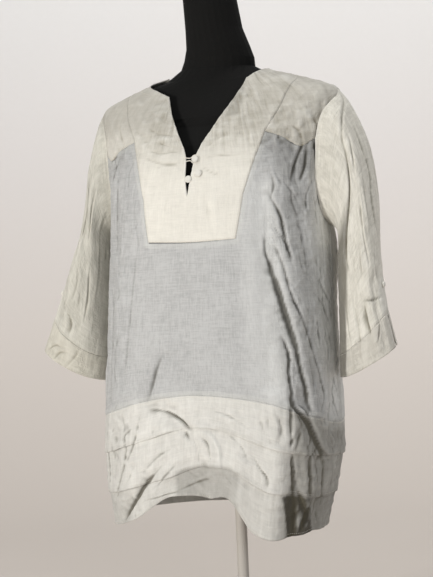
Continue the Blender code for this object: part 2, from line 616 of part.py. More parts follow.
def sleeve_grid(seams, side):
    """A sleeve's points and normals from the armhole to the cuff's lower edge, columns starting at the slit.

    On the wearer's right it is worked out as if on the left, and turned over afterwards.
    """
    across = 1 if side == "left" else -1
    loop = armhole(seams)[:-1]
    count = len(loop)
    start = body_folded(across * loop[:, 0], loop[:, 1]) * (across, 1, 1)
    from_middle = (start - (start.max(axis=0) + start.min(axis=0)) / 2) / np.ptp(start, axis=0)
    angle = np.arctan2(from_middle[:, 1], from_middle[:, 2])
    first = np.argmin(np.abs(angle - SLIT_ANGLE))
    order = (first + np.arange(count + 1)) % count
    turn = (angle[order] - angle[first]) % (2 * math.pi)
    turn[-1] = 2 * math.pi
    rows = np.concatenate([
        np.linspace(0, 1, SLEEVE_ROWS - SLIT_ROWS + 1) ** 1.1 * SLIT_TOP,
        np.linspace(SLIT_TOP, CUFF_TOP, SLIT_ROWS + 1)[1:],
        np.linspace(CUFF_TOP, CUFF_BOTTOM, CUFF_ROWS + 1)[1:],
    ])
    opening = SLIT_OPENING * np.clip((rows - SLIT_TOP) / (CUFF_BOTTOM - SLIT_TOP), 0, 1) ** 0.8
    turned_by = SLIT_ANGLE + opening[:, None] / 2 + turn * (1 - opening[:, None] / (2 * math.pi))
    along = np.repeat(rows[:, None], count + 1, axis=1)
    keep = (np.clip(1 - along / ARMHOLE_BLEND, 0, 1) ** 2)[..., None]
    points = keep * start[order] + (1 - keep) * sleeve_oval(side, turned_by, along)
    around = ((turned_by + math.pi) % (2 * math.pi) - math.pi) * SLEEVE_RADIUS
    height = relief(SLEEVE_FOLDS, around, along)[..., None] * (1 - keep)
    points = points + grid_normals(points) * height
    out = grid_normals(points)
    out[0] = seam_normals(across * loop[order, 0], loop[order, 1]) * (across, 1, 1)
    whole = rows <= SLIT_TOP
    points[whole, -1], out[whole, -1] = points[whole, 0], out[whole, 0]
    grid = np.concatenate([points, out], -1)
    return grid if side == "left" else (grid * (-1, 1, 1, -1, 1, 1))[:, ::-1]


def grid_normals(points):
    """Outward normals of a tube given as rows down it and columns round it, the last like the first."""
    round_it = np.concatenate([points[:, -2:-1], points, points[:, 1:2]], axis=1)
    across = round_it[:, 2:] - round_it[:, :-2]
    down = np.gradient(points, axis=0)
    out = unit(np.cross(down, across))
    centre = points[:, :-1].mean(axis=1, keepdims=True)
    return out * np.sign(((points - centre) * out).sum(axis=(0, 1, 2)))


def tube_wall(name, grids, thickness, finish, offset=0.0):
    """A wall from parts of a sleeve's grid."""
    rows, faces = welded(grids)
    return wall(name, rows[:, :3], unit(rows[:, 3:]), faces, thickness, finish, offset)


def make_sleeves(seams, finish, cuff_finish, button_finish):
    """Each sleeve with its split cuff, the facing round the inside of its slit, and its button."""
    end = SLEEVE_ROWS
    slit_row = end - SLIT_ROWS
    for side in ("left", "right"):
        grid = sleeve_grid(seams, side)
        facing = grid[slit_row - FACING_ROWS: end + 1]
        beside = [facing[:, -1 - FACING_COLUMNS:], facing[:, : FACING_COLUMNS + 1]]
        tube_wall(f"sleeve_{side}", [grid[: end + 1]], CLOTH, finish)
        tube_wall(f"cuff_{side}", [grid[end:]], DOUBLE_CLOTH, cuff_finish)
        tube_wall(f"slit_facing_{side}", beside, CLOTH, cuff_finish, -(CLOTH + SEAM_GAP))
        top = grid[slit_row - 1, 0]
        out = unit(top[3:])
        button_at(f"cuff_button_{side}", top[:3] + out * SEAM_GAP * 2, out, CUFF_BUTTON_DIAMETER, button_finish)


def button_at(name, foot, out, diameter, finish):
    """A small domed cloth-covered button whose flat underside is at foot."""
    shape = bmesh.new()
    height = BUTTON_THICKNESS
    profile = [(0.30, 0.0), (0.46, 0.12), (0.50, 0.40), (0.44, 0.75), (0.26, 0.95)]
    segments = 12
    rings = []
    for radius, level in profile:
        angles = [2 * math.pi * k / segments for k in range(segments)]
        rings.append([
            shape.verts.new((diameter * radius * math.cos(a), diameter * radius * math.sin(a), height * level))
            for a in angles
        ])
    for low, high in zip(rings, rings[1:]):
        for k in range(segments):
            after = (k + 1) % segments
            shape.faces.new((low[k], low[after], high[after], high[k]))
    shape.faces.new(list(reversed(rings[0])))
    shape.faces.new(rings[-1])
    mesh = bpy.data.meshes.new(name)
    shape.to_mesh(mesh)
    shape.free()
    mesh.shade_smooth()
    turn = Vector(out).to_track_quat("Z", "Y").to_matrix().to_4x4()
    mesh.transform(Matrix.Translation(Vector(foot)) @ turn)
    return add_object(name, mesh, finish)


def make_neck_buttons(finish):
    """The covered buttons at the slit."""
    for name, (arc, z) in NECK_BUTTONS.items():
        at = np.array([arc]), np.array([z])
        out = normals(body_folded, *at)[0]
        foot = body_folded(*at)[0] + out * SEAM_GAP
        button_at(name, foot, out, BUTTON_DIAMETER, finish)


def make_loop(finish):
    """The cord loop that lies on the bib and goes round the top button."""
    arc, z = np.array([NECK_BUTTONS["button_top"]] + LOOP_ENDS).T
    out = normals(body_folded, arc, z)
    button, top_end, low_end = body_folded(arc, z) + out * (SEAM_GAP + LOOP_THICKNESS / 2)
    across = unit(np.cross((0, 0, 1), out[0]))
    up = np.cross(out[0], across)
    radius = BUTTON_DIAMETER / 2 + SEAM_GAP + LOOP_THICKNESS / 2
    turn = np.linspace(math.pi - LOOP_START, LOOP_START - math.pi, LOOP_POINTS)[:, None]
    around = button + radius * (np.cos(turn) * across + np.sin(turn) * up)
    centre = np.concatenate([[top_end], around, [low_end]])
    out = np.concatenate([out[1:2], np.repeat(out[:1], LOOP_POINTS, axis=0), out[2:]])
    aside = unit(np.cross(out, np.gradient(centre, axis=0)))
    side = np.linspace(0, 2 * math.pi, LOOP_SIDES, endpoint=False)[:, None]
    rings = [
        c + (np.cos(side) * a + np.sin(side) * o) * LOOP_THICKNESS / 2
        for c, a, o in zip(centre, aside, out)
    ]
    lathe_rings("button_loop", rings, finish, LOOP_SIDES)


def lathe_rings(name, rings, finish, sides=FORM_SIDES):
    """A closed solid through rings of points, with flat ends."""
    faces = []
    for i in range(len(rings) - 1):
        for k in range(sides):
            after = (k + 1) % sides
            faces.append((i * sides + k, i * sides + after, (i + 1) * sides + after, (i + 1) * sides + k))
    faces.append(tuple(reversed(range(sides))))
    faces.append(tuple(range((len(rings) - 1) * sides, len(rings) * sides)))
    mesh = bpy.data.meshes.new(name)
    mesh.from_pydata(np.concatenate(rings).tolist(), [], faces)
    mesh.shade_smooth()
    mesh.set_sharp_from_angle(angle=math.radians(40))
    return add_object(name, mesh, finish)


def oval_ring(z, half, front, back, middle, aside=0.0):
    angle = np.linspace(0, 2 * math.pi, FORM_SIDES, endpoint=False)
    c, s = np.cos(angle), np.sin(angle)
    depth = np.where(c > 0, front, back)
    return np.stack([aside + half * s, middle - depth * c, np.full(FORM_SIDES, z)], -1)


def make_form(finish):
    """The smooth torso with its neck, touching the cloth only along the shoulders."""
    rings = [oval_ring(*row) for row in FORM_RINGS]
    arc = np.linspace(0, 4 * SIDE, FORM_SIDES, endpoint=False)
    for z, clearance in FORM_TOP:
        height = np.full(FORM_SIDES, z)
        touching = np.abs(np.sin(arc / ARC_RADIUS)) ** 12 * (SHOULDER_TIP_Z < z < NECK_POINT_Z - 0.006)
        inside = DOUBLE_CLOTH + clearance + (SHOULDER_CLEARANCE - clearance) * touching
        rings.append(body_smooth(arc, height) - normals(body_smooth, arc, height) * inside[:, None])
    rings += [oval_ring(*row) for row in NECK_RINGS]
    lathe_rings("form", rings, finish)


def make_stand(finish):
    """A round base plate, a socket and a pole up to the form's underside."""
    for name, radius, low, high, round_off in (
        ("stand_base", BASE_RADIUS, 0, BASE_THICKNESS, 0.003),
        ("stand_socket", SOCKET_RADIUS, BASE_THICKNESS + SEAM_GAP, BASE_THICKNESS + SOCKET_HEIGHT, 0.002),
        ("stand_pole", POLE_RADIUS, BASE_THICKNESS + SOCKET_HEIGHT + SEAM_GAP, FORM_RINGS[0, 0] - SEAM_GAP, 0),
    ):
        bpy.ops.mesh.primitive_cylinder_add(
            vertices=40 if radius > 0.1 else 20, radius=radius, depth=high - low, location=(POLE_X, POLE_Y, (low + high) / 2)
        )
        made = bpy.context.object
        made.name = name
        made.data.materials.append(finish)
        if round_off:
            edge = made.modifiers.new("edge", "BEVEL")
            edge.width = round_off
            edge.segments = 2
            edge.limit_method = "ANGLE"
        made.data.shade_smooth()
        made.data.set_sharp_from_angle(angle=math.radians(40))


def main():
    for old in list(bpy.data.objects):
        bpy.data.objects.remove(old, do_unlink=True)
    panel = material("panel_linen", (0.62, 0.62, 0.59), 0.92, 0.3)
    doubled = material("doubled_linen", (0.86, 0.84, 0.79), 0.92, 0.3)
    sleeve = material("sleeve_linen", (0.78, 0.75, 0.69), 0.92, 0.3)
    covered = material("covered_button", (0.88, 0.86, 0.82), 0.6)
    form = material("black_form", (0.012, 0.011, 0.010), 0.85, 0.2)
    metal = material("pale_metal", (0.50, 0.47, 0.43), 0.4)
    seams = body_seams()
    make_bib(seams, doubled)
    make_front(seams, panel)
    make_front_yokes(seams, doubled)
    make_back(seams, doubled, panel)
    make_tiers(doubled)
    make_sleeves(seams, sleeve, doubled, covered)
    make_neck_buttons(covered)
    make_loop(covered)
    make_form(form)
    make_stand(metal)
    for made in bpy.context.scene.objects:
        made.location.x += PLACE[0]
        made.location.y += PLACE[1]


main()
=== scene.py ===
"""Looks of the sheer linen tunic: every cloth solid is replaced by a finer shell on the same surface.

Metres. The body's pieces are addressed by an arc position round the body and a height, as in the solids.
"""

import math

import bpy
import numpy as np
from mathutils import Matrix, Vector, kdtree

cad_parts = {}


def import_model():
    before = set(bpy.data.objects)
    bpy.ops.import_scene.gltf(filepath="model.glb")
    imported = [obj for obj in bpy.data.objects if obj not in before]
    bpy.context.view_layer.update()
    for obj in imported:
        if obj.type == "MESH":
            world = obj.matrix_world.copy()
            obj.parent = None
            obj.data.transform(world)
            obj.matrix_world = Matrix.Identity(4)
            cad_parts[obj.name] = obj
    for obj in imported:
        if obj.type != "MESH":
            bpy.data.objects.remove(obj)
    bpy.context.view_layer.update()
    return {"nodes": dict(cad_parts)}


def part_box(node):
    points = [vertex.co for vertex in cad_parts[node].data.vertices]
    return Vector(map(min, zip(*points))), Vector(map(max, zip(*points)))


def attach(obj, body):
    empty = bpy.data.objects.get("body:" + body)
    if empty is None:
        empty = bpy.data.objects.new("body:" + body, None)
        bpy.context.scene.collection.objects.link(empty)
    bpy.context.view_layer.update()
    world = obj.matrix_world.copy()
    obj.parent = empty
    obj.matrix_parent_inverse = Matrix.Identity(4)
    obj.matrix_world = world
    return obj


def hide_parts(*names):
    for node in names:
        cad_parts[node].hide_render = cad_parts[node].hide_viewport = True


# Sizes and seams, the same as in the solids
SEAM_GAP = 0.0003
PANEL_BOTTOM = 0.325
HEM_Z = 0.140
TIER_OVERLAP = 0.006
TIER_FLARE = 0.002
TIER_TUCK = 0.0005
TIERS = 3
TIER_HEIGHT = (PANEL_BOTTOM - HEM_Z) / TIERS
UNDERARM_Z = 0.625
CHEST_Z = 0.600
YOKE_Z = 0.754
BACK_YOKE_Z = 0.735
SHOULDER_TIP_Z = 0.831
BIB_TOP_Z = 0.861
NECK_POINT_Z = 0.873
ARC_RADIUS = 0.17
SIDE = ARC_RADIUS * math.pi / 2
BODY_RINGS = np.array([
    (0.110, 0.164, 0.132, 0.060, 3.0, 2.0, 0.000, -0.014),
    (0.160, 0.171, 0.140, 0.074, 3.1, 2.0, 0.000, -0.011),
    (0.205, 0.179, 0.147, 0.088, 3.2, 2.1, 0.000, -0.008),
    (0.262, 0.187, 0.151, 0.104, 3.2, 2.2, 0.000, -0.003),
    (0.325, 0.187, 0.151, 0.116, 3.2, 2.3, 0.000, 0.000),
    (0.420, 0.184, 0.147, 0.119, 3.0, 2.3, 0.000, 0.000),
    (0.520, 0.181, 0.139, 0.116, 2.8, 2.3, 0.000, 0.000),
    (0.600, 0.179, 0.133, 0.112, 2.6, 2.3, 0.002, 0.000),
    (0.660, 0.179, 0.128, 0.108, 2.5, 2.2, 0.004, 0.000),
    (0.700, 0.182, 0.122, 0.104, 2.4, 2.2, 0.006, 0.000),
    (0.740, 0.188, 0.112, 0.100, 2.3, 2.2, 0.008, 0.000),
    (0.775, 0.195, 0.100, 0.094, 2.2, 2.2, 0.010, 0.000),
    (0.805, 0.201, 0.089, 0.087, 2.1, 2.1, 0.012, 0.000),
    (0.823, 0.203, 0.081, 0.079, 2.0, 2.0, 0.014, 0.000),
    (0.835, 0.194, 0.075, 0.073, 2.0, 2.0, 0.015, 0.000),
    (0.847, 0.166, 0.069, 0.066, 2.0, 2.0, 0.016, 0.000),
    (0.860, 0.127, 0.063, 0.059, 2.0, 2.0, 0.016, 0.000),
    (0.872, 0.088, 0.057, 0.052, 2.0, 2.0, 0.016, 0.000),
    (0.882, 0.062, 0.054, 0.050, 2.0, 2.0, 0.016, 0.000),
])
LIFTS = np.array([
    (-0.534, 0.038, 0.034, 0.030, 0.024),
    (-0.420, 0.038, 0.034, 0.030, 0.024),
    (-0.330, 0.034, 0.028, 0.024, 0.018),
    (-0.267, 0.028, 0.020, 0.016, 0.010),
    (-0.200, 0.023, 0.013, 0.012, 0.010),
    (-0.150, 0.027, 0.016, 0.020, 0.020),
    (-0.110, 0.040, 0.026, 0.032, 0.032),
    (-0.080, 0.058, 0.034, 0.041, 0.039),
    (-0.045, 0.076, 0.044, 0.052, 0.044),
    (-0.010, 0.077, 0.055, 0.058, 0.047),
    (0.030, 0.073, 0.062, 0.059, 0.046),
    (0.078, 0.067, 0.052, 0.046, 0.041),
    (0.102, 0.025, 0.034, 0.036, 0.037),
    (0.124, 0.012, 0.022, 0.026, 0.031),
    (0.150, 0.009, 0.017, 0.017, 0.020),
    (0.200, 0.014, 0.006, 0.009, 0.004),
    (0.267, 0.014, 0.004, 0.003, -0.008),
    (0.330, 0.024, 0.016, 0.012, 0.004),
    (0.420, 0.036, 0.032, 0.028, 0.022),
    (0.534, 0.038, 0.034, 0.030, 0.024),
])
LIFT_END_Z = 0.480
SHOULDER_TILT = 0.020
BIB_BOTTOM = [(-0.090, 0.606), (0.000, 0.604), (0.088, 0.607)]
BIB_EDGE_LOW = [(0.088, 0.607), (0.096, 0.640), (0.104, 0.674)]
BIB_CORNER = (0.152, 0.768)
BIB_EDGE_MIDDLE = [(0.104, 0.674), (0.125, 0.720), BIB_CORNER]
BIB_EDGE_TOP = [BIB_CORNER, (0.178, 0.799), (0.208, 0.837), (SIDE, BIB_TOP_Z)]
SLIT_BOTTOM = (-0.007, 0.674)
OPENING_LEFT = [
    SLIT_BOTTOM, (-0.002, 0.700), (0.006, 0.733), (0.053, 0.784), (0.095, 0.815), (0.150, 0.855),
]
OPENING_RIGHT = [
    SLIT_BOTTOM, (-0.013, 0.700), (-0.017, 0.735), (-0.050, 0.775), (-0.080, 0.805), (-0.111, 0.835),
]
NECK_LEFT = [(0.150, 0.855), (0.205, 0.868), (SIDE, NECK_POINT_Z)]
NECK_RIGHT = [(-0.111, 0.835), (-0.171, 0.851), (-SIDE, NECK_POINT_Z)]
FRONT_YOKE_SEAM = [BIB_CORNER, (0.176, 0.758), (0.200, 0.743), (0.222, YOKE_Z)]
ARMHOLE_FRONT_LOW = [(SIDE, UNDERARM_Z), (0.247, 0.637), (0.226, 0.680), (0.222, YOKE_Z)]
ARMHOLE_FRONT_TOP = [(0.222, YOKE_Z), (0.232, 0.792), (SIDE, SHOULDER_TIP_Z)]
ARMHOLE_BACK_TOP = [(SIDE, SHOULDER_TIP_Z), (0.303, 0.792), (0.314, BACK_YOKE_Z)]
ARMHOLE_BACK_LOW = [(0.314, BACK_YOKE_Z), (0.308, 0.680), (0.289, 0.637), (SIDE, UNDERARM_Z)]
BACK_NECK = [
    (SIDE, NECK_POINT_Z), (0.380, 0.870), (2 * SIDE, 0.868), (4 * SIDE - 0.380, 0.870),
    (3 * SIDE, NECK_POINT_Z),
]
BODY_FOLDS = np.array([
    (0.137, 0.700, 0.140, 0.560, 0.002, 0.017, -0.0080),
    (0.140, 0.570, 0.168, 0.350, -0.003, 0.018, -0.0110),
    (0.168, 0.350, 0.196, 0.250, 0.000, 0.018, -0.0120),
    (0.110, 0.650, 0.112, 0.430, 0.000, 0.018, 0.0040),
    (0.130, 0.345, 0.132, 0.130, 0.000, 0.018, 0.0080),
    (0.160, 0.250, 0.162, 0.130, 0.000, 0.018, -0.0140),
    (0.184, 0.660, 0.200, 0.520, 0.003, 0.017, -0.0070),
    (0.192, 0.470, 0.214, 0.330, -0.003, 0.017, -0.0080),
    (0.188, 0.752, 0.186, 0.690, 0.000, 0.016, -0.0080),
    (0.212, 0.560, 0.246, 0.440, 0.004, 0.017, -0.0060),
    (0.240, 0.410, 0.222, 0.290, 0.004, 0.017, -0.0070),
    (0.206, 0.250, 0.210, 0.140, 0.000, 0.016, -0.0090),
    (-0.050, 0.420, -0.076, 0.345, 0.000, 0.017, -0.0060),
    (-0.080, 0.322, -0.006, 0.262, 0.006, 0.017, -0.0090),
    (0.014, 0.262, 0.046, 0.196, 0.004, 0.017, 0.0070),
    (0.080, 0.225, 0.080, 0.130, 0.000, 0.017, 0.0090),
    (0.006, 0.185, 0.016, 0.135, 0.000, 0.040, -0.0160),
    (-0.062, 0.222, -0.140, 0.150, 0.004, 0.017, -0.0100),
    (-0.120, 0.330, -0.156, 0.230, 0.003, 0.017, -0.0070),
    (-0.178, 0.730, -0.166, 0.600, 0.000, 0.017, -0.0060),
    (-0.118, 0.600, -0.129, 0.380, 0.003, 0.018, -0.0060),
    (-0.172, 0.560, -0.166, 0.340, 0.002, 0.017, -0.0060),
    (-0.205, 0.400, -0.222, 0.190, 0.000, 0.022, 0.0080),
    (-0.222, 0.690, -0.230, 0.470, 0.003, 0.017, -0.0060),
    (0.330, 0.640, 0.322, 0.380, 0.004, 0.019, -0.0070),
    (0.372, 0.560, 0.385, 0.240, -0.004, 0.020, -0.0090),
    (0.415, 0.715, 0.425, 0.470, 0.003, 0.020, -0.0070),
    (0.442, 0.420, 0.430, 0.150, 0.003, 0.020, -0.0090),
    (0.496, 0.725, 0.500, 0.500, 0.000, 0.018, -0.0080),
    (0.524, 0.460, 0.535, 0.170, 0.004, 0.021, -0.0090),
    (0.572, 0.725, 0.564, 0.520, 0.000, 0.018, -0.0080),
    (0.625, 0.640, 0.612, 0.330, -0.004, 0.020, -0.0080),
    (0.665, 0.700, 0.654, 0.560, 0.003, 0.019, -0.0060),
    (0.690, 0.500, 0.700, 0.200, 0.003, 0.020, -0.0090),
    (0.745, 0.600, 0.748, 0.330, -0.003, 0.019, -0.0070),
])
SLEEVE_SECTIONS = {
    "left": np.array([
        (0.000, 0.206, 0.830, 0.180, 0.624, 0.012, 0.050, 0.000),
        (0.030, 0.223, 0.808, 0.188, 0.621, 0.011, 0.058, 0.000),
        (0.070, 0.240, 0.768, 0.197, 0.609, 0.009, 0.062, -0.002),
        (0.120, 0.253, 0.716, 0.197, 0.582, 0.005, 0.063, -0.005),
        (0.180, 0.262, 0.658, 0.195, 0.542, -0.003, 0.062, -0.009),
        (0.250, 0.267, 0.590, 0.196, 0.490, -0.014, 0.060, -0.014),
        (0.310, 0.272, 0.530, 0.198, 0.448, -0.024, 0.058, -0.019),
        (0.350, 0.279, 0.490, 0.199, 0.423, -0.030, 0.057, -0.022),
        (0.405, 0.2912, 0.438, 0.201, 0.388, -0.036, 0.056, -0.025),
    ]),
    "right": np.array([
        (0.000, 0.206, 0.826, 0.180, 0.624, 0.012, 0.050, 0.000),
        (0.030, 0.213, 0.800, 0.188, 0.621, 0.011, 0.060, 0.000),
        (0.070, 0.214, 0.764, 0.191, 0.609, 0.009, 0.062, -0.002),
        (0.120, 0.215, 0.716, 0.189, 0.582, 0.005, 0.064, -0.004),
        (0.180, 0.224, 0.658, 0.188, 0.542, 0.000, 0.064, -0.006),
        (0.250, 0.243, 0.592, 0.188, 0.492, -0.010, 0.064, -0.008),
        (0.310, 0.262, 0.534, 0.188, 0.450, -0.019, 0.060, -0.010),
        (0.350, 0.275, 0.497, 0.189, 0.425, -0.024, 0.058, -0.012),
        (0.405, 0.293, 0.448, 0.191, 0.388, -0.030, 0.056, -0.014),
    ]),
}
CUFF_TOP = 0.350
CUFF_BOTTOM = 0.405
SLIT_TOP = 0.336
SLIT_ANGLE = math.radians(-28)
SLIT_OPENING = math.radians(9)
ARMHOLE_BLEND = 0.110
SLEEVE_FOLDS = np.array([
    (-0.062, 0.040, -0.078, 0.180, 0.004, 0.016, -0.0070),
    (-0.026, 0.060, -0.036, 0.210, -0.003, 0.016, -0.0060),
    (-0.100, 0.210, -0.090, 0.340, 0.003, 0.016, -0.0050),
    (0.012, 0.110, -0.006, 0.260, 0.003, 0.016, -0.0060),
    (0.056, 0.080, 0.064, 0.240, 0.004, 0.016, -0.0060),
    (0.105, 0.150, 0.098, 0.330, 0.000, 0.016, -0.0050),
    (0.040, 0.260, 0.048, 0.345, 0.000, 0.015, -0.0050),
    (-0.056, 0.290, -0.062, 0.395, 0.000, 0.015, -0.0060),
])
SLEEVE_RADIUS = 0.055
SLEEVE_FULLNESS = 0.8
BUTTON_DIAMETER = 0.0115
BUTTON_THICKNESS = 0.0042
CUFF_BUTTON_DIAMETER = 0.009
NECK_BUTTONS = {
    "button_top": (0.007, 0.7315), "button_side": (0.0165, 0.7090), "button_low": (-0.006, 0.7010),
}
LOOP_ENDS = [(-0.0215, 0.7350), (-0.0215, 0.7285)]
LOOP_THICKNESS = 0.0016
LOOP_START = math.radians(28)
PLACE = (-0.0019, 0.017, 0)

# How finely each seam is cut
FINE = {
    "half bib": 26, "bib low": 20, "bib middle": 36, "bib top": 36, "shoulder inner": 8, "shoulder": 84,
    "limb": 84, "yoke": 84, "arm low": 48, "arm top": 36, "arm back top": 30, "arm back low": 40,
    "side low": 116, "side top": 8, "back": 150,
}
TIER_ROWS = 27
SLEEVE_ROWS, SLIT_ROWS, CUFF_ROWS = 118, 6, 22
SLEEVE_LEVELS = np.linspace(0, 1, SLEEVE_ROWS + 1) ** 1.1 * SLIT_TOP

# The shells' thickness, single and doubled, and each one's groove and ridge at a seam
SINGLE, DOUBLED = 0.0007, 0.0012
SINGLE_SEAM, DOUBLED_SEAM = (0.0006, 0.0006), (0.0001, 0.0004)
SEAM_ALLOWANCE = 0.008
FACING_HEIGHT = 0.040
FACING_COLUMNS = 8
FACING_THICKNESS = 0.0005

# How much of the solids' folds and of the creases' height and width is kept, the narrowest crease,
# and how high the crest beside a trough is
FOLD_SHARE, SLEEVE_FOLD_SHARE = 0.5, 0.6
CREASE_SHARE = 0.60
WIDTH_SHARE = 0.66
NARROWEST = 0.0016
CREST_SHARE = 0.30
# Creases are measured on the cloth with arc positions at this share of their length
ARC_SHRINK = 0.85
# The body's cloth swells out behind the left sleeve: arc, height, how far, and its reach round and up
SWELL_ARC, SWELL_Z, SWELL_RISE, SWELL_ROUND, SWELL_UP = 0.306, 0.578, 0.0080, 0.030, 0.050
# Behind the side seams, the painted shade in the troughs is kept at this share, so the troughs there are paler
TROUGH_BEHIND = 0.45

# What each vertex carries for the cloth's material: painted shade in troughs, a painted highlight on crests, doubled
# cloth, wrinkles, and painted light and shade
FIELDS = ("trough", "crest", "doubled", "wrinkled", "painted_light_shade")

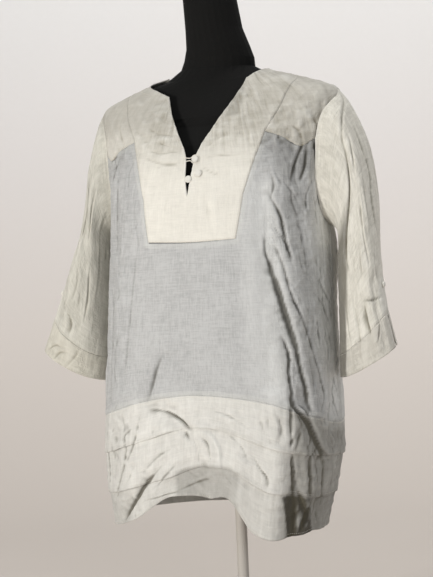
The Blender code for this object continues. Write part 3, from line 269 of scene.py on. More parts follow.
# Creases on the body, in millimetres: half width, height (troughs are negative), side of its crest,
# then arc and height points
BODY_CREASES = [
    # the long dark fold and the thin creases of the shaded side
    (3.4, -7.5, 1, (145, 671), (160, 636), (163, 613), (171, 571)),
    (2.6, -4, 1, (149, 622), (161, 602), (172, 575)),
    (3, -4, -1, (134, 610), (133, 585), (140, 560)),
    (5.5, -11, 1, (139, 566), (149, 520), (157, 482), (164, 450), (169, 417)),
    (4.2, -9, 1, (166, 430), (171, 395), (175, 370), (180, 335)),
    (3, -5.5, 1, (147, 596), (156, 568), (164, 526), (171, 503), (188, 464)),
    (2.8, -4.8, 1, (184, 474), (197, 432), (208, 393), (213, 370)),
    (3.4, -8, 1, (147, 455), (155, 425), (152, 395), (153, 364), (155, 337)),
    (3, -5, -1, (155, 345), (172, 334), (184, 307)),
    (2.4, -3, 1, (220, 575), (227, 538), (244, 514), (270, 490)),
    (2.4, -2.8, -1, (205, 522), (239, 492), (250, 470)),
    (3, -3.5, 1, (256, 610), (264, 568), (274, 530)),
    (2.6, -3.4, -1, (252, 392), (243, 364), (255, 330)),
    (2.6, -3.6, 1, (206, 390), (215, 363), (200, 330)),
    (2.6, 1.8, 0, (162, 700), (184, 673), (200, 646), (212, 631)),
    (2.6, -2.4, 1, (156, 705), (180, 676), (198, 648)),
    (3.4, -6.5, -1, (203, 746), (189, 715), (181, 692)),
    (4.2, -7, 1, (207, 740), (205, 714), (196, 690)),
    (2.6, -4, 1, (151, 704), (153, 685), (147, 665)),
    (3.6, -5.5, -1, (221, 750), (226, 718), (233, 690), (240, 660)),
    (2.6, -3, 1, (214, 700), (222, 660), (230, 610)),
    (2.4, -2.6, -1, (184, 640), (196, 590), (200, 540)),
    (2.4, -2.6, 1, (236, 640), (242, 590), (238, 545)),
    (2.4, -2.8, 1, (232, 470), (238, 430), (230, 395)),
    (2.4, -2.8, -1, (186, 420), (190, 385), (186, 350)),
    (2.4, -2.8, 1, (226, 385), (232, 360), (226, 330)),
    # the front panel
    (4, -4.2, 1, (-56, 424), (-66, 395), (-73, 362), (-80, 330)),
    (3.2, -2.8, -1, (-178, 732), (-176, 680), (-166, 610)),
    (3, -2.4, 1, (-113, 616), (-120, 500), (-126, 360)),
    (3, -3.2, -1, (-169, 540), (-164, 450), (-160, 350)),
    (2.8, -2.4, 1, (-146, 700), (-152, 610), (-148, 520)),
    (3, -2.8, 1, (-195, 620), (-200, 520), (-190, 420)),
    (2.8, -2.6, -1, (-140, 480), (-150, 420), (-142, 360)),
    (3, -3, 1, (-186, 430), (-180, 380), (-186, 335)),
    # the tiers: the pull point, the long folds from it, and the deep pleats on the shaded side
    (3, -5, 1, (-77, 311), (-47, 300), (-25, 284), (-9, 268)),
    (3.4, -6, -1, (-36, 292), (-20, 279), (-6, 262)),
    (2.8, -4, 1, (-14, 260), (-4, 246)),
    (4, 4.5, 0, (18, 258), (36, 251), (47, 235), (53, 203)),
    (3.6, -4.5, 1, (10, 254), (28, 240), (36, 214)),
    (3, -3, -1, (0, 250), (10, 232), (12, 212)),
    (4.6, -8.5, 1, (-62, 218), (-80, 206), (-105, 178), (-137, 148)),
    (3, -3.5, -1, (-30, 216), (-52, 204), (-70, 184)),
    (3, -3.5, 1, (-40, 240), (-60, 236), (-86, 222)),
    (3, -3, 1, (-36, 150), (-9, 162), (34, 179)),
    (3, -4.5, 1, (-89, 166), (-56, 152), (-20, 150)),
    (3.2, -5, 1, (102, 240), (110, 230), (119, 222), (121, 205)),
    (3, -5, -1, (129, 320), (135, 298), (132, 272)),
    (2.8, -3.4, 1, (110, 298), (116, 275)),
    (2.8, -3, -1, (120, 312), (118, 290), (123, 270)),
    (5.5, -11, 1, (150, 352), (156, 333), (174, 317), (187, 295), (201, 267), (208, 255)),
    (3.4, -6.5, -1, (151, 350), (148, 304), (149, 266)),
    (2.8, -4.5, 1, (199, 276), (212, 264), (223, 254)),
    (3, -4.5, -1, (163, 300), (158, 282), (153, 262)),
    (3.4, -7.5, 1, (151, 262), (156, 230), (161, 196)),
    (4.2, -8, 1, (178, 262), (182, 235), (187, 200)),
    (3.2, -5.5, -1, (212, 256), (214, 230), (216, 200)),
    (2.8, -4, 1, (234, 256), (240, 235), (245, 208)),
    (2.6, -3.6, 1, (196, 250), (200, 228), (198, 206)),
    (5, -9, 1, (170, 204), (182, 178), (178, 146)),
    (4, -8, -1, (196, 204), (187, 176), (182, 150)),
    (5, -8, 1, (163, 196), (166, 170), (168, 140)),
    (3, -4.5, -1, (206, 196), (204, 178), (196, 160)),
    (2.6, -3, 1, (226, 300), (232, 280), (228, 262)),
    (2.6, -3.4, -1, (168, 290), (174, 270), (170, 255)),
    (3, -5, 1, (-178, 325), (-168, 280), (-165, 236), (-176, 190), (-184, 147)),
    (2.8, -4, -1, (-129, 318), (-122, 280), (-120, 255), (-130, 221), (-160, 172)),
    (2.8, -3.6, 1, (-93, 308), (-104, 266), (-124, 231)),
    (2.6, -3.4, 1, (-196, 290), (-204, 240), (-198, 190)),
    (2.6, -3, -1, (-146, 300), (-150, 262), (-142, 236)),
    (2.6, -2.6, -1, (34, 298), (70, 292), (98, 280)),
    (3, -2.2, 1, (60, 262), (82, 250), (94, 232)),
    # bib and yokes
    (3.2, -2.4, 1, (-144, 812), (-109, 803), (-74, 802)),
    (3.4, -3, -1, (-135, 789), (-101, 777), (-58, 772)),
    (3.2, -3.2, 1, (-138, 766), (-105, 765), (-72, 757), (-30, 748)),
    (3, -3.4, -1, (-123, 754), (-82, 745), (-48, 746), (-23, 740)),
    (2.8, -3, 1, (-118, 741), (-81, 730), (-40, 728), (-21, 731)),
    (2.8, -2, -1, (-98, 721), (-61, 725), (-29, 723)),
    (3, -2.4, 1, (20, 733), (66, 735), (112, 734)),
    (3, -2.4, -1, (26, 746), (60, 762), (95, 768)),
    (2.8, -2.2, 1, (16, 721), (53, 707), (78, 700)),
    (3.6, -3, 1, (110, 815), (131, 820), (153, 842)),
    (3, -2.4, -1, (122, 790), (140, 800), (160, 798)),
    (3, -2.2, -1, (-160, 836), (-130, 828), (-112, 832)),
    (3, -2.2, 1, (-176, 812), (-160, 796), (-150, 776)),
    (2.8, -2.4, 1, (-196, 800), (-186, 780), (-176, 768)),
    (6, -1.4, 0, (32, 671), (36, 650), (39, 625)),
    (6, 1.4, 0, (50, 690), (54, 650), (62, 620)),
    (5, -1.2, 0, (-50, 690), (-56, 650), (-50, 615)),
    (3, -4.5, 1, (190, 780), (201, 760), (203, 746)),
    (3, -4, -1, (222, 785), (226, 770), (224, 756)),
    (3.4, 3, 0, (203, 813), (214, 791), (218, 765)),
    (3, -3.6, 1, (236, 812), (232, 795), (226, 776)),
    (3, -2.4, -1, (170, 812), (184, 800), (196, 792)),
    (3, -3, 1, (172, 790), (184, 772), (190, 757)),
    (3, -5, 1, (-200, 742), (-186, 748), (-178, 746)),
    (2.8, -3.6, -1, (-178, 746), (-184, 734), (-196, 728)),
    # behind
    (9.5, -4.5, 1, (318, 660), (324, 560), (318, 440), (322, 340)),
    (9.5, -5, -1, (366, 700), (374, 560), (384, 400), (380, 240)),
    (8.5, -4, 1, (418, 720), (424, 600), (416, 480)),
    (9.5, -5, -1, (440, 460), (436, 330), (428, 160)),
    (8.5, -4, 1, (470, 728), (476, 650), (466, 560)),
    (8.5, -4.5, -1, (500, 728), (504, 600), (496, 470)),
    (9.5, -4.5, 1, (524, 500), (536, 360), (532, 170)),
    (8.5, -4, -1, (560, 728), (568, 620), (560, 500)),
    (8.5, -4.5, 1, (590, 560), (596, 420), (588, 300)),
    (9.5, -5, -1, (626, 660), (616, 480), (610, 330)),
    (8.5, -3.5, 1, (664, 710), (656, 600), (664, 520)),
    (9.5, -5, -1, (688, 500), (698, 340), (700, 170)),
    (8.5, -4, 1, (740, 620), (750, 480), (744, 320)),
    (8.5, -3.5, -1, (300, 300), (312, 230), (306, 160)),
    (8.5, -3.5, 1, (480, 300), (490, 220), (482, 150)),
    (8.5, -3.5, -1, (640, 300), (646, 220), (652, 150)),
    (9.5, -2, 1, (400, 850), (470, 842), (540, 846), (620, 848)),
    (8.5, -2, -1, (360, 800), (420, 796), (480, 808)),
    (8.5, -2, 1, (580, 806), (650, 796), (710, 802)),
]

# Scattered small creases: seed, how many, arc and height box, length range, lean in degrees and its spread,
# half width range, depth range
SCATTERED = [
    (11, 54, (0.152, 0.264, 0.330, 0.740), (0.020, 0.070), (6, 16), (0.0016, 0.0026), (0.0012, 0.0030)),
    (12, 46, (-0.262, -0.112, 0.330, 0.740), (0.016, 0.060), (-3, 20), (0.0016, 0.0026), (0.0008, 0.0020)),
    (13, 110, (0.275, 0.790, 0.330, 0.730), (0.024, 0.080), (0, 16), (0.0020, 0.0032), (0.0010, 0.0024)),
    (14, 44, (-0.262, -0.090, 0.150, 0.325), (0.016, 0.050), (8, 30), (0.0016, 0.0026), (0.0010, 0.0026)),
    (15, 26, (-0.080, 0.130, 0.150, 0.325), (0.014, 0.036), (20, 40), (0.0018, 0.0030), (0.0005, 0.0013)),
    (16, 50, (0.150, 0.264, 0.150, 0.325), (0.016, 0.045), (4, 22), (0.0016, 0.0026), (0.0016, 0.0036)),
    (17, 70, (0.275, 0.790, 0.160, 0.325), (0.018, 0.050), (0, 26), (0.0018, 0.0030), (0.0010, 0.0022)),
    (18, 44, (-0.200, 0.160, 0.700, 0.855), (0.012, 0.036), (80, 24), (0.0018, 0.0030), (0.0006, 0.0015)),
    (19, 34, (0.280, 0.790, 0.745, 0.865), (0.018, 0.055), (80, 30), (0.0020, 0.0034), (0.0006, 0.0014)),
    (20, 14, (-0.090, 0.100, 0.610, 0.700), (0.015, 0.040), (30, 50), (0.0026, 0.0040), (0.0003, 0.0008)),
    (21, 22, (0.165, 0.262, 0.745, 0.845), (0.012, 0.032), (20, 34), (0.0018, 0.0028), (0.0010, 0.0024)),
]

# Creases on each sleeve, in millimetres round it and down it as on the wearer's left: the same columns
SLEEVE_CREASES = {
    "left": [
        (3.4, -7.2, 1, (6, 0), (-7, 30), (-39, 50), (-59, 62)),
        (3.4, -7.6, 1, (-55, 58), (-72, 90), (-84, 116), (-98, 162), (-104, 210)),
        (2.6, -6.2, -1, (-20, 60), (-21, 90), (-17, 134), (-25, 176), (-18, 250)),
        (2.4, -4.5, 1, (-60, 350), (-66, 362), (-74, 377)),
        (2.6, -4.6, 1, (-86, 293), (-69, 309), (-33, 325)),
        (2.6, -4.6, -1, (-84, 300), (-84, 329), (-83, 360)),
        (2.8, -5, 1, (-45, 70), (-53, 86), (-60, 102)),
        (2.6, -4, -1, (-77, 205), (-79, 235), (-80, 262)),
        (2.6, -3.6, 1, (-40, 110), (-48, 160), (-44, 215)),
        (2.6, -3.6, -1, (-62, 140), (-66, 200), (-60, 260)),
        (2.6, -3.4, 1, (-36, 230), (-44, 265), (-40, 300)),
        (2.6, -3.4, 1, (-6, 60), (-2, 120), (-8, 180)),
        (2.6, -4, 1, (-112, 240), (-120, 300), (-118, 350)),
        (2.6, -3.4, 1, (-100, 280), (-98, 330), (-104, 385)),
        (4.5, -5, -1, (20, 60), (24, 160), (14, 250)),
        (4.5, -5.5, 1, (52, 60), (60, 160), (58, 270)),
        (4, -4.5, -1, (90, 120), (96, 220), (90, 320)),
        (4, -4.5, 1, (126, 140), (120, 240), (128, 330)),
        (3.6, -4, -1, (34, 260), (44, 310), (38, 370)),
        (3.6, -3.6, 1, (70, 290), (78, 340), (72, 395)),
    ],
    "right": [
        (2.8, -4.8, 1, (-88, 44), (-92, 98), (-89, 152)),
        (2.8, -5, -1, (-120, 18), (-124, 70), (-126, 122), (-126, 233)),
        (2.8, -5, 1, (-46, 225), (-60, 285), (-73, 329)),
        (2.4, -4, 1, (-51, 401), (-75, 377), (-89, 371)),
        (2.4, -3.6, 1, (-77, 403), (-84, 383), (-94, 371)),
        (2.4, -3.6, -1, (-93, 403), (-100, 383), (-109, 355)),
        (2.6, -4.2, 1, (-145, 72), (-144, 104), (-142, 136)),
        (2.8, -4.6, -1, (-103, 192), (-109, 247), (-107, 291)),
        (2.6, -4, 1, (-53, 307), (-84, 313), (-87, 343)),
        (2.6, -3.6, 1, (-66, 80), (-70, 140), (-62, 200)),
        (2.6, -3.4, -1, (-30, 180), (-38, 240), (-46, 300)),
        (2.6, -3.4, 1, (-78, 210), (-84, 250), (-80, 290)),
        (2.6, -3.6, -1, (-26, 330), (-36, 350), (-34, 372)),
        (4.5, -5, 1, (30, 70), (26, 170), (34, 260)),
        (4, -4.5, -1, (66, 100), (72, 200), (64, 300)),
        (4, -4.5, 1, (110, 140), (104, 240), (112, 330)),
        (3.6, -4, -1, (46, 280), (54, 330), (48, 390)),
    ],
}
# How many small wrinkles show on each sleeve, as bumps and as painted shade, 0 to 1
SLEEVE_WRINKLED = {"left": 0.75, "right": 0.70}
# How dark the painted shadow of the body is on the strip of each sleeve nearest it, and where that strip starts:
# round and down the sleeve
SLEEVE_SHADE = {"left": 0.78, "right": 0.0}
SHADOW_EDGE = np.array([
    (-0.078, 0.0), (-0.084, 0.100), (-0.095, 0.166), (-0.112, 0.259), (-0.127, 0.329), (-0.139, 0.391),
])
SLEEVE_SCATTERED = [
    (31, 34, (-0.130, 0.150, 0.060, 0.340), (0.030, 0.080), (0, 12), (0.0024, 0.0040), (0.0008, 0.0020)),
    (32, 22, (-0.150, 0.150, 0.345, 0.402), (0.014, 0.040), (0, 28), (0.0022, 0.0036), (0.0005, 0.0014)),
]

# Where the cloth is crumpled all over: arc position, then the depth of the crumpling at the hem,
# on the panels and on the yokes
CRUMPLED = np.array([
    (-0.534, 0.0016, 0.0011, 0.0008),
    (-0.267, 0.0018, 0.0014, 0.0008),
    (-0.150, 0.0028, 0.0017, 0.0046),
    (-0.090, 0.0028, 0.0009, 0.0048),
    (0.000, 0.0024, 0.0005, 0.0036),
    (0.110, 0.0022, 0.0006, 0.0048),
    (0.150, 0.0026, 0.0022, 0.0054),
    (0.267, 0.0028, 0.0026, 0.0048),
    (0.534, 0.0016, 0.0011, 0.0008),
])

# Paler stands in for light on the front panel's edge before its crest and on the body's side behind the left sleeve;
# darker is painted shade on the yokes, on the tiers' shaded side and in the recess under the gather
# Painted light and shade on the cloth, paler above 0 and darker below: arc from and to, height from and to, lean,
# soft edge, tone
PAINTED_LIGHT_SHADE_AREAS = [
    (0.100, 0.160, 0.330, 0.700, 0.0, 0.036, 0.30),
    (0.124, 0.148, 0.330, 0.690, 0.0, 0.014, 0.30),
    (0.152, 0.900, 0.330, 0.620, 0.0, 0.020, 0.08),
    (0.220, 0.330, 0.330, 0.680, 0.0, 0.050, 0.85),
    (0.158, 0.330, 0.640, 0.760, 0.0, 0.030, -0.16),
    (0.152, 0.330, 0.326, 0.420, 0.0, 0.030, -0.12),
    (-0.900, 0.900, 0.745, 2.000, 0.0, 0.100, -0.30),
    (-0.900, 0.100, 0.790, 2.000, 0.0, 0.030, -0.12),
    (0.098, 0.126, 0.796, 0.850, 0.6, 0.005, -0.24),
    (0.158, 0.330, 0.700, 0.760, 0.0, 0.020, -0.10),
    (0.152, 0.330, 0.100, 0.325, 0.0, 0.008, -0.52),
    (0.158, 0.202, 0.100, 0.198, -0.33, 0.004, -1.0),
    (-0.030, 0.082, 0.120, 0.206, 0.0, 0.005, -0.26),
    (-0.900, 0.900, 0.100, 0.206, 0.0, 0.020, -0.12),
    (-0.267, -0.120, 0.100, 0.325, 0.0, 0.020, -0.12),
]

# How many small wrinkles show, as bumps and as painted shade in their hollows, 0 to 1: arc position, then on the
# panels, on the tiers and on the yokes
WRINKLED = np.array([
    (-0.534, 0.55, 0.60, 0.45),
    (-0.267, 0.70, 0.80, 0.50),
    (-0.150, 0.60, 0.60, 0.40),
    (-0.100, 0.24, 0.60, 1.00),
    (0.000, 0.12, 0.55, 0.90),
    (0.110, 0.18, 0.55, 1.00),
    (0.150, 0.90, 0.95, 1.00),
    (0.267, 0.90, 0.95, 0.55),
    (0.330, 0.60, 0.70, 0.50),
    (0.534, 0.55, 0.60, 0.45),
])

# Each linen: name, then its light and dark threads, doubled cloth and the painted shade in troughs and wrinkles,
# then how much of its weave, creases and fine lines shows
LINENS = {
    "panel": ("sheer_panel", (0.545, 0.545, 0.535), (0.375, 0.375, 0.37), (0.66, 0.66, 0.63),
              (0.070, 0.065, 0.048), 1.25),
    "doubled": ("doubled_linen", (0.83, 0.80, 0.725), (0.66, 0.62, 0.54), (0.86, 0.83, 0.75),
                (0.20, 0.175, 0.115), 1.0, 2.4, 0.0),
    "tier": ("tier_linen", (0.76, 0.74, 0.69), (0.54, 0.525, 0.485), (0.82, 0.805, 0.755),
             (0.10, 0.090, 0.062), 0.9, 1.3, 0.10),
    # The sleeves and cuffs are lit and shaded copies of one linen: on the wearer's left they are painted paler, as
    # painted light for the light through the sheer cloth, on the right darker, as painted shade
    "sleeve left": ("left_sleeve_linen", (0.82, 0.79, 0.71), (0.62, 0.595, 0.52), (0.86, 0.835, 0.76),
                    (0.17, 0.155, 0.11), 1.0, 1.4),
    "sleeve right": ("right_sleeve_linen", (0.68, 0.66, 0.585), (0.50, 0.48, 0.42), (0.80, 0.775, 0.69),
                     (0.17, 0.155, 0.11), 1.0, 1.4),
    "cuff left": ("left_cuff_linen", (0.70, 0.67, 0.60), (0.56, 0.53, 0.46), (0.72, 0.69, 0.62),
                  (0.18, 0.16, 0.11), 0.9, 1.6),
    "cuff right": ("right_cuff_linen", (0.66, 0.63, 0.55), (0.52, 0.49, 0.42), (0.70, 0.67, 0.58),
                   (0.20, 0.18, 0.125), 0.9, 1.6),
    "button": ("button_cloth", (0.80, 0.78, 0.72), (0.62, 0.60, 0.54), (0.82, 0.80, 0.74), (0.4, 0.38, 0.33)),
}
# The colours that painted light and painted shade pull the cloth towards: a pale one, and this share of each linen's
# dark threads
PAINTED_LIGHT = (0.86, 0.86, 0.83)
SHADE_SHARE = (0.13, 0.12, 0.10)

# Covered buttons: radius by diameter, and level by thickness, from the foot up
BUTTON_PROFILE = [
    (0.30, 0.00), (0.40, 0.03), (0.465, 0.12), (0.495, 0.26), (0.50, 0.40), (0.485, 0.56),
    (0.44, 0.74), (0.36, 0.87), (0.25, 0.95), (0.12, 0.99), (0.02, 1.0),
]
BUTTON_PLEATS = 0.012
CORD_POINTS, CORD_SIDES, CORD_TWIST = 110, 12, 0.42

# The backdrop: its colours from the floor up, darker low down as painted shade, by share of its painted height, then
# where the floor starts and ends, the radius of the curve up to the wall, the wall's top and half the width
BACKDROP_HEIGHT = 1.5
BACKDROP_TONES = [
    (0.0, (0.64, 0.585, 0.535)),
    (0.25, (0.72, 0.665, 0.62)),
    (0.60, (0.79, 0.756, 0.735)),
    (1.0, (0.87, 0.865, 0.86)),
]
FLOOR_START, FLOOR_END, CURVE_RADIUS, WALL_TOP, HALF_WIDTH = -4.0, 0.9, 1.6, 4.5, 5.0
CURVE_STEPS = 24
FLOOR_DROP = 0.0005

# The studio: the camera's azimuth, distance, height and framing, and the world's strength
STUDIO_TURN = 22.0
CAMERA_DISTANCE = 2.6
CAMERA_HEIGHT = 0.582
CAMERA_ASIDE = -0.012
CAMERA_ROLL = 2.5
FOCAL_PIXELS = 1625.0
HORIZON_ROW = 256.0
IMAGE_HEIGHT = 577
SENSOR = 36.0
WORLD_STRENGTH = 0.32
# A warm key from the front left, a weak fill and a light on the wall: name, place, target, size, power, colour
LIGHTS = [
    ("key", (-1.35, -2.9, 0.60), (0.0, 0.0, 0.50), (0.5, 0.6), 59, (1.0, 0.985, 0.955)),
    ("fill", (2.2, -2.6, 1.1), (0.0, 0.0, 0.5), (2.0, 2.0), 22, (0.95, 0.97, 1.0)),
    ("wall", (0.6, 0.3, 3.4), (-0.3, 2.2, 0.9), (2.6, 1.2), 55, (1.0, 0.985, 0.965)),
]


def through(keys, values, at):
    """A smooth curve through a table's values."""
    slopes = np.gradient(values, keys)
    i = np.clip(np.searchsorted(keys, at) - 1, 0, len(keys) - 2)
    span = keys[i + 1] - keys[i]
    t = np.clip((at - keys[i]) / span, 0, 1)
    start = values[i] * (1 + 2 * t) * (1 - t) ** 2 + slopes[i] * span * t * (1 - t) ** 2
    end = values[i + 1] * t * t * (3 - 2 * t) + slopes[i + 1] * span * t * t * (t - 1)
    return start + end


def relief(folds, across, along):
    """How far the folds stand out of the cloth, each with a soft shoulder on its two sides."""
    out = np.zeros(np.broadcast(across, along).shape)
    for a0, b0, a1, b1, bow, width, height in folds:
        length = math.hypot(a1 - a0, b1 - b0)
        ea, eb = (a1 - a0) / length, (b1 - b0) / length
        run = (across - a0) * ea + (along - b0) * eb
        t = np.clip(run / length, 0, 1)
        off = (across - a0) * -eb + (along - b0) * ea - bow * 4 * t * (1 - t)
        past = run - t * length
        near = (off**2 + past**2) / width**2
        taper = 0.35 + 0.65 * np.sin(math.pi * np.clip(0.5 * t + 0.25, 0, 1))
        out = out + height * taper * (1 - 0.6 * near) * np.exp(-near)
    return out


def unit(vectors):
    """The vectors at length 1."""
    return vectors / np.linalg.norm(vectors, axis=-1, keepdims=True)


def wrapped(arc):
    """The arc position brought to within half a turn of the centre front."""
    whole = 4 * SIDE
    return (arc + whole / 2) % whole - whole / 2


def ahead_of(arc):
    """The wrapped arc position, carried on past the wearer's right side seam for what lies behind."""
    place = wrapped(arc)
    return np.where(place < -SIDE * 1.02, place + 4 * SIDE, place)


def lift_at(arc, z):
    """How far the front gather pulls the cloth up. It fades out above the tiers."""
    place = wrapped(arc)
    levels = [through(LIFTS[:, 0], LIFTS[:, k], place) for k in range(1, LIFTS.shape[1])]
    step = np.clip((z - HEM_Z) / TIER_HEIGHT, -0.5, TIERS)
    lift = levels[0] + 0 * step
    for k in range(TIERS):
        lift = lift + (levels[k + 1] - levels[k]) * np.clip(step - k, 0, 1)
    fade = np.clip((LIFT_END_Z - z) / (LIFT_END_Z - PANEL_BOTTOM), 0, 1)
    return lift * fade**1.5


def body_smooth(arc, z):
    """A point of the body before its folds."""
    angle = arc / ARC_RADIUS
    c, s = np.cos(angle), np.sin(angle)
    lift = lift_at(arc, z)
    half, front, back, square_front, square_back, middle, aside = (
        through(BODY_RINGS[:, 0], BODY_RINGS[:, k], z + 0.3 * lift) for k in range(1, 8)
    )
    depth = np.where(c > 0, front, back)
    n = np.where(c > 0, square_front, square_back)
    r = ((np.abs(c) / depth) ** n + (np.abs(s) / half) ** n) ** (-1 / n)
    x = aside + r * s
    tilt = SHOULDER_TILT * x * np.clip((z - UNDERARM_Z) / (SHOULDER_TIP_Z - UNDERARM_Z), 0, 1)
    return np.stack([x, middle - r * c, z + lift + tilt], -1)


def normals(surface, a, b, step=0.0015):
    """Outward unit normals of a surface of two variables."""
    across = surface(a + step, b) - surface(a - step, b)
    along = surface(a, b + step) - surface(a, b - step)
    return unit(np.cross(across, along))


def body_coarse(arc, z):
    """The folds' height, softened to leave room for the fine creases."""
    return FOLD_SHARE * relief(BODY_FOLDS, ahead_of(arc), z)


def body_folded(arc, z):
    """A point of the body with its folds."""
    return body_smooth(arc, z) + normals(body_smooth, arc, z) * body_coarse(arc, z)[..., None]


def seam(rows, count):
    """Evenly spaced points along the smooth curve through a seam's rows."""
    rows = np.array(rows)
    run = np.concatenate([[0], np.cumsum(np.hypot(*np.diff(rows, axis=0).T))])
    fine = np.linspace(0, run[-1], 300)
    curve = np.stack([through(run, rows[:, 0], fine), through(run, rows[:, 1], fine)], -1)
    length = np.concatenate([[0], np.cumsum(np.hypot(*np.diff(curve, axis=0).T))])
    at = np.linspace(0, length[-1], count + 1)
    return np.stack([np.interp(at, length, curve[:, 0]), np.interp(at, length, curve[:, 1])], -1)


def joined(*seams):
    """Seams end to end as one edge."""
    return np.concatenate([seams[0]] + [part[1:] for part in seams[1:]])


def mirrored(points):
    """The same seam on the wearer's right."""
    return points * (-1, 1)


def turned(points):
    """The same seam of the wearer's right, reached round the back."""
    return np.stack([4 * SIDE - points[:, 0], points[:, 1]], -1)


def spread(bottom, top, left, right):
    """A grid of points between four edges that share their corners."""
    u = np.linspace(0, 1, len(bottom))[:, None, None]
    v = np.linspace(0, 1, len(left))[None, :, None]
    across = (1 - v) * bottom[:, None] + v * top[:, None]
    along = (1 - u) * left[None] + u * right[None]
    low = (1 - u) * bottom[0] + u * bottom[-1]
    high = (1 - u) * top[0] + u * top[-1]
    return across + along - (1 - v) * low - v * high


def quads(shape, first):
    """The faces of a grid of points, counted from first."""
    rows, columns = shape
    return [
        (first + i * columns + j, first + (i + 1) * columns + j,
         first + (i + 1) * columns + j + 1, first + i * columns + j + 1)
        for i in range(rows - 1) for j in range(columns - 1)
    ]


def welded(grids):
    """One list of points and faces from grids that share edge points exactly."""
    points, faces = [], []
    for grid in grids:
        faces += quads(grid.shape[:2], sum(len(part) for part in points))
        points.append(grid.reshape(-1, grid.shape[-1]))
    points = np.concatenate(points)
    _, first, index = np.unique(np.round(points / 1e-6), axis=0, return_index=True, return_inverse=True)
    index = index.reshape(-1)
    return points[first], [tuple(index[k] for k in face) for face in faces]


def level_edge(start, end, count, z):
    """A level line of arc positions and heights."""
    return np.stack([np.linspace(start, end, count), np.full(count, z)], -1)


def run_of(points):
    """How far along a line each of its points lies."""
    return np.concatenate([[0], np.cumsum(np.linalg.norm(np.diff(points, axis=0), axis=1))])


def sleeve_oval(side, angle, along):
    """A point of a sleeve before its folds. Angle 0 is the outer edge, growing to the rear."""
    table = SLEEVE_SECTIONS[side]
    ox, oz, ix, iz, y, depth, lean = (through(table[:, 0], table[:, k], along) for k in range(1, 8))
    c, s = np.cos(angle), np.sin(angle)
    c = np.sign(c) * np.abs(c) ** SLEEVE_FULLNESS
    x = (ox + ix) / 2 + c * (ox - ix) / 2 + s * lean
    z = (oz + iz) / 2 + c * (oz - iz) / 2
    return np.stack([x, y + s * depth, z], -1)


def grid_normals(points):
    """Outward normals of a tube given as rows down it and columns round it, the last like the first."""
    round_it = np.concatenate([points[:, -2:-1], points, points[:, 1:2]], axis=1)
    across = round_it[:, 2:] - round_it[:, :-2]
    down = np.gradient(points, axis=0)
    out = unit(np.cross(down, across))
    centre = points[:, :-1].mean(axis=1, keepdims=True)
    return out * np.sign(((points - centre) * out).sum(axis=(0, 1, 2)))


def curve_of(points, count=48):
    """A smooth curve through a few points."""
    points = np.array(points, float)
    run = run_of(points)
    at = np.linspace(0, run[-1], count)
    return np.stack([through(run, points[:, k], at) for k in range(points.shape[1])], -1)


def metres(table):
    """A crease table in metres. The side of a crease's crest has no unit."""
    return [(wide / 1000, height / 1000, crest, *np.array(points) / 1000) for wide, height, crest, *points in table]


def creased(table, across, along, stretch=1.0):
    """How far creases stand out: a trough or ridge with a softer crest along one side."""
    shape = across.shape
    place = np.stack([across.ravel() * stretch, along.ravel()], -1)
    out = np.zeros(len(place))
    for wide, height, crest, *points in table:
        width = max(WIDTH_SHARE * wide, NARROWEST)
        curve = curve_of(np.array(points) * (stretch, 1))
        reach = 5 * width
        near = ((place > curve.min(axis=0) - reach) & (place < curve.max(axis=0) + reach)).all(axis=1)
        if not near.any():
            continue
        gap = place[near][:, None] - curve[None]
        nearest = (gap**2).sum(axis=-1).argmin(axis=1)
        rows = np.arange(len(nearest))
        tangent = unit(np.gradient(curve, axis=0))[nearest]
        gap = gap[rows, nearest]
        side = tangent[:, 0] * gap[:, 1] - tangent[:, 1] * gap[:, 0]
        past = tangent[:, 0] * gap[:, 0] + tangent[:, 1] * gap[:, 1]
        t = nearest / (len(curve) - 1)
        taper = np.sin(math.pi * np.clip(t * 0.94 + 0.03, 0, 1)) ** 0.6
        beside = (side - crest * 1.9 * width) / (1.5 * width)
        depth = np.exp(-(side / width) ** 2) - CREST_SHARE * abs(crest) * np.exp(-(beside**2))
        out[near] += CREASE_SHARE * height * taper * depth * np.exp(-(past / (1.5 * width)) ** 2)
    return out.reshape(shape)


def scattered(table):
    """Rows of short creases at seeded random places in each box."""
    rows = []
    for seed, count, box, length, lean, width, depth in table:
        random = np.random.default_rng(seed)
        for _ in range(count):
            middle = np.array([random.uniform(*box[:2]), random.uniform(*box[2:])])
            turn = math.radians(90 + random.normal(*lean))
            half = np.array([math.cos(turn), math.sin(turn)]) * random.uniform(*length) / 2
            bend = np.array([-half[1], half[0]]) * random.normal(0, 0.25)
            height = -random.uniform(*depth) * random.choice([1, 1, 1, -0.7])
            rows.append((
                random.uniform(*width), height, random.choice([-1, 1]),
                middle - half, middle + bend, middle + half,
            ))
    return rows


def crumple(points, size, seed):
    """A field of crossing soft ridges over points in space, about -0.5 to 0.5."""
    random = np.random.default_rng(seed)
    total = np.zeros(points.shape[:-1])
    for _ in range(8):
        way = unit(random.normal(size=3) * (1, 1, 0.55))
        other = unit(random.normal(size=3))
        wave = size * random.uniform(0.7, 1.7)
        sway = points @ other * 2 * math.pi / (2.3 * wave) + random.uniform(0, 6)
        bent = points @ way / wave + 0.30 * np.sin(sway)
        ridge = 1 - np.abs((bent + random.uniform(0, 1)) % 1 - 0.5) * 2
        spot = points @ unit(random.normal(size=3)) * 2 * math.pi / (3.1 * size) + random.uniform(0, 6)
        patch = 0.5 + 0.5 * np.sin(spot)
        total += (ridge**1.5 - 0.4) * patch
    return total / 3.2


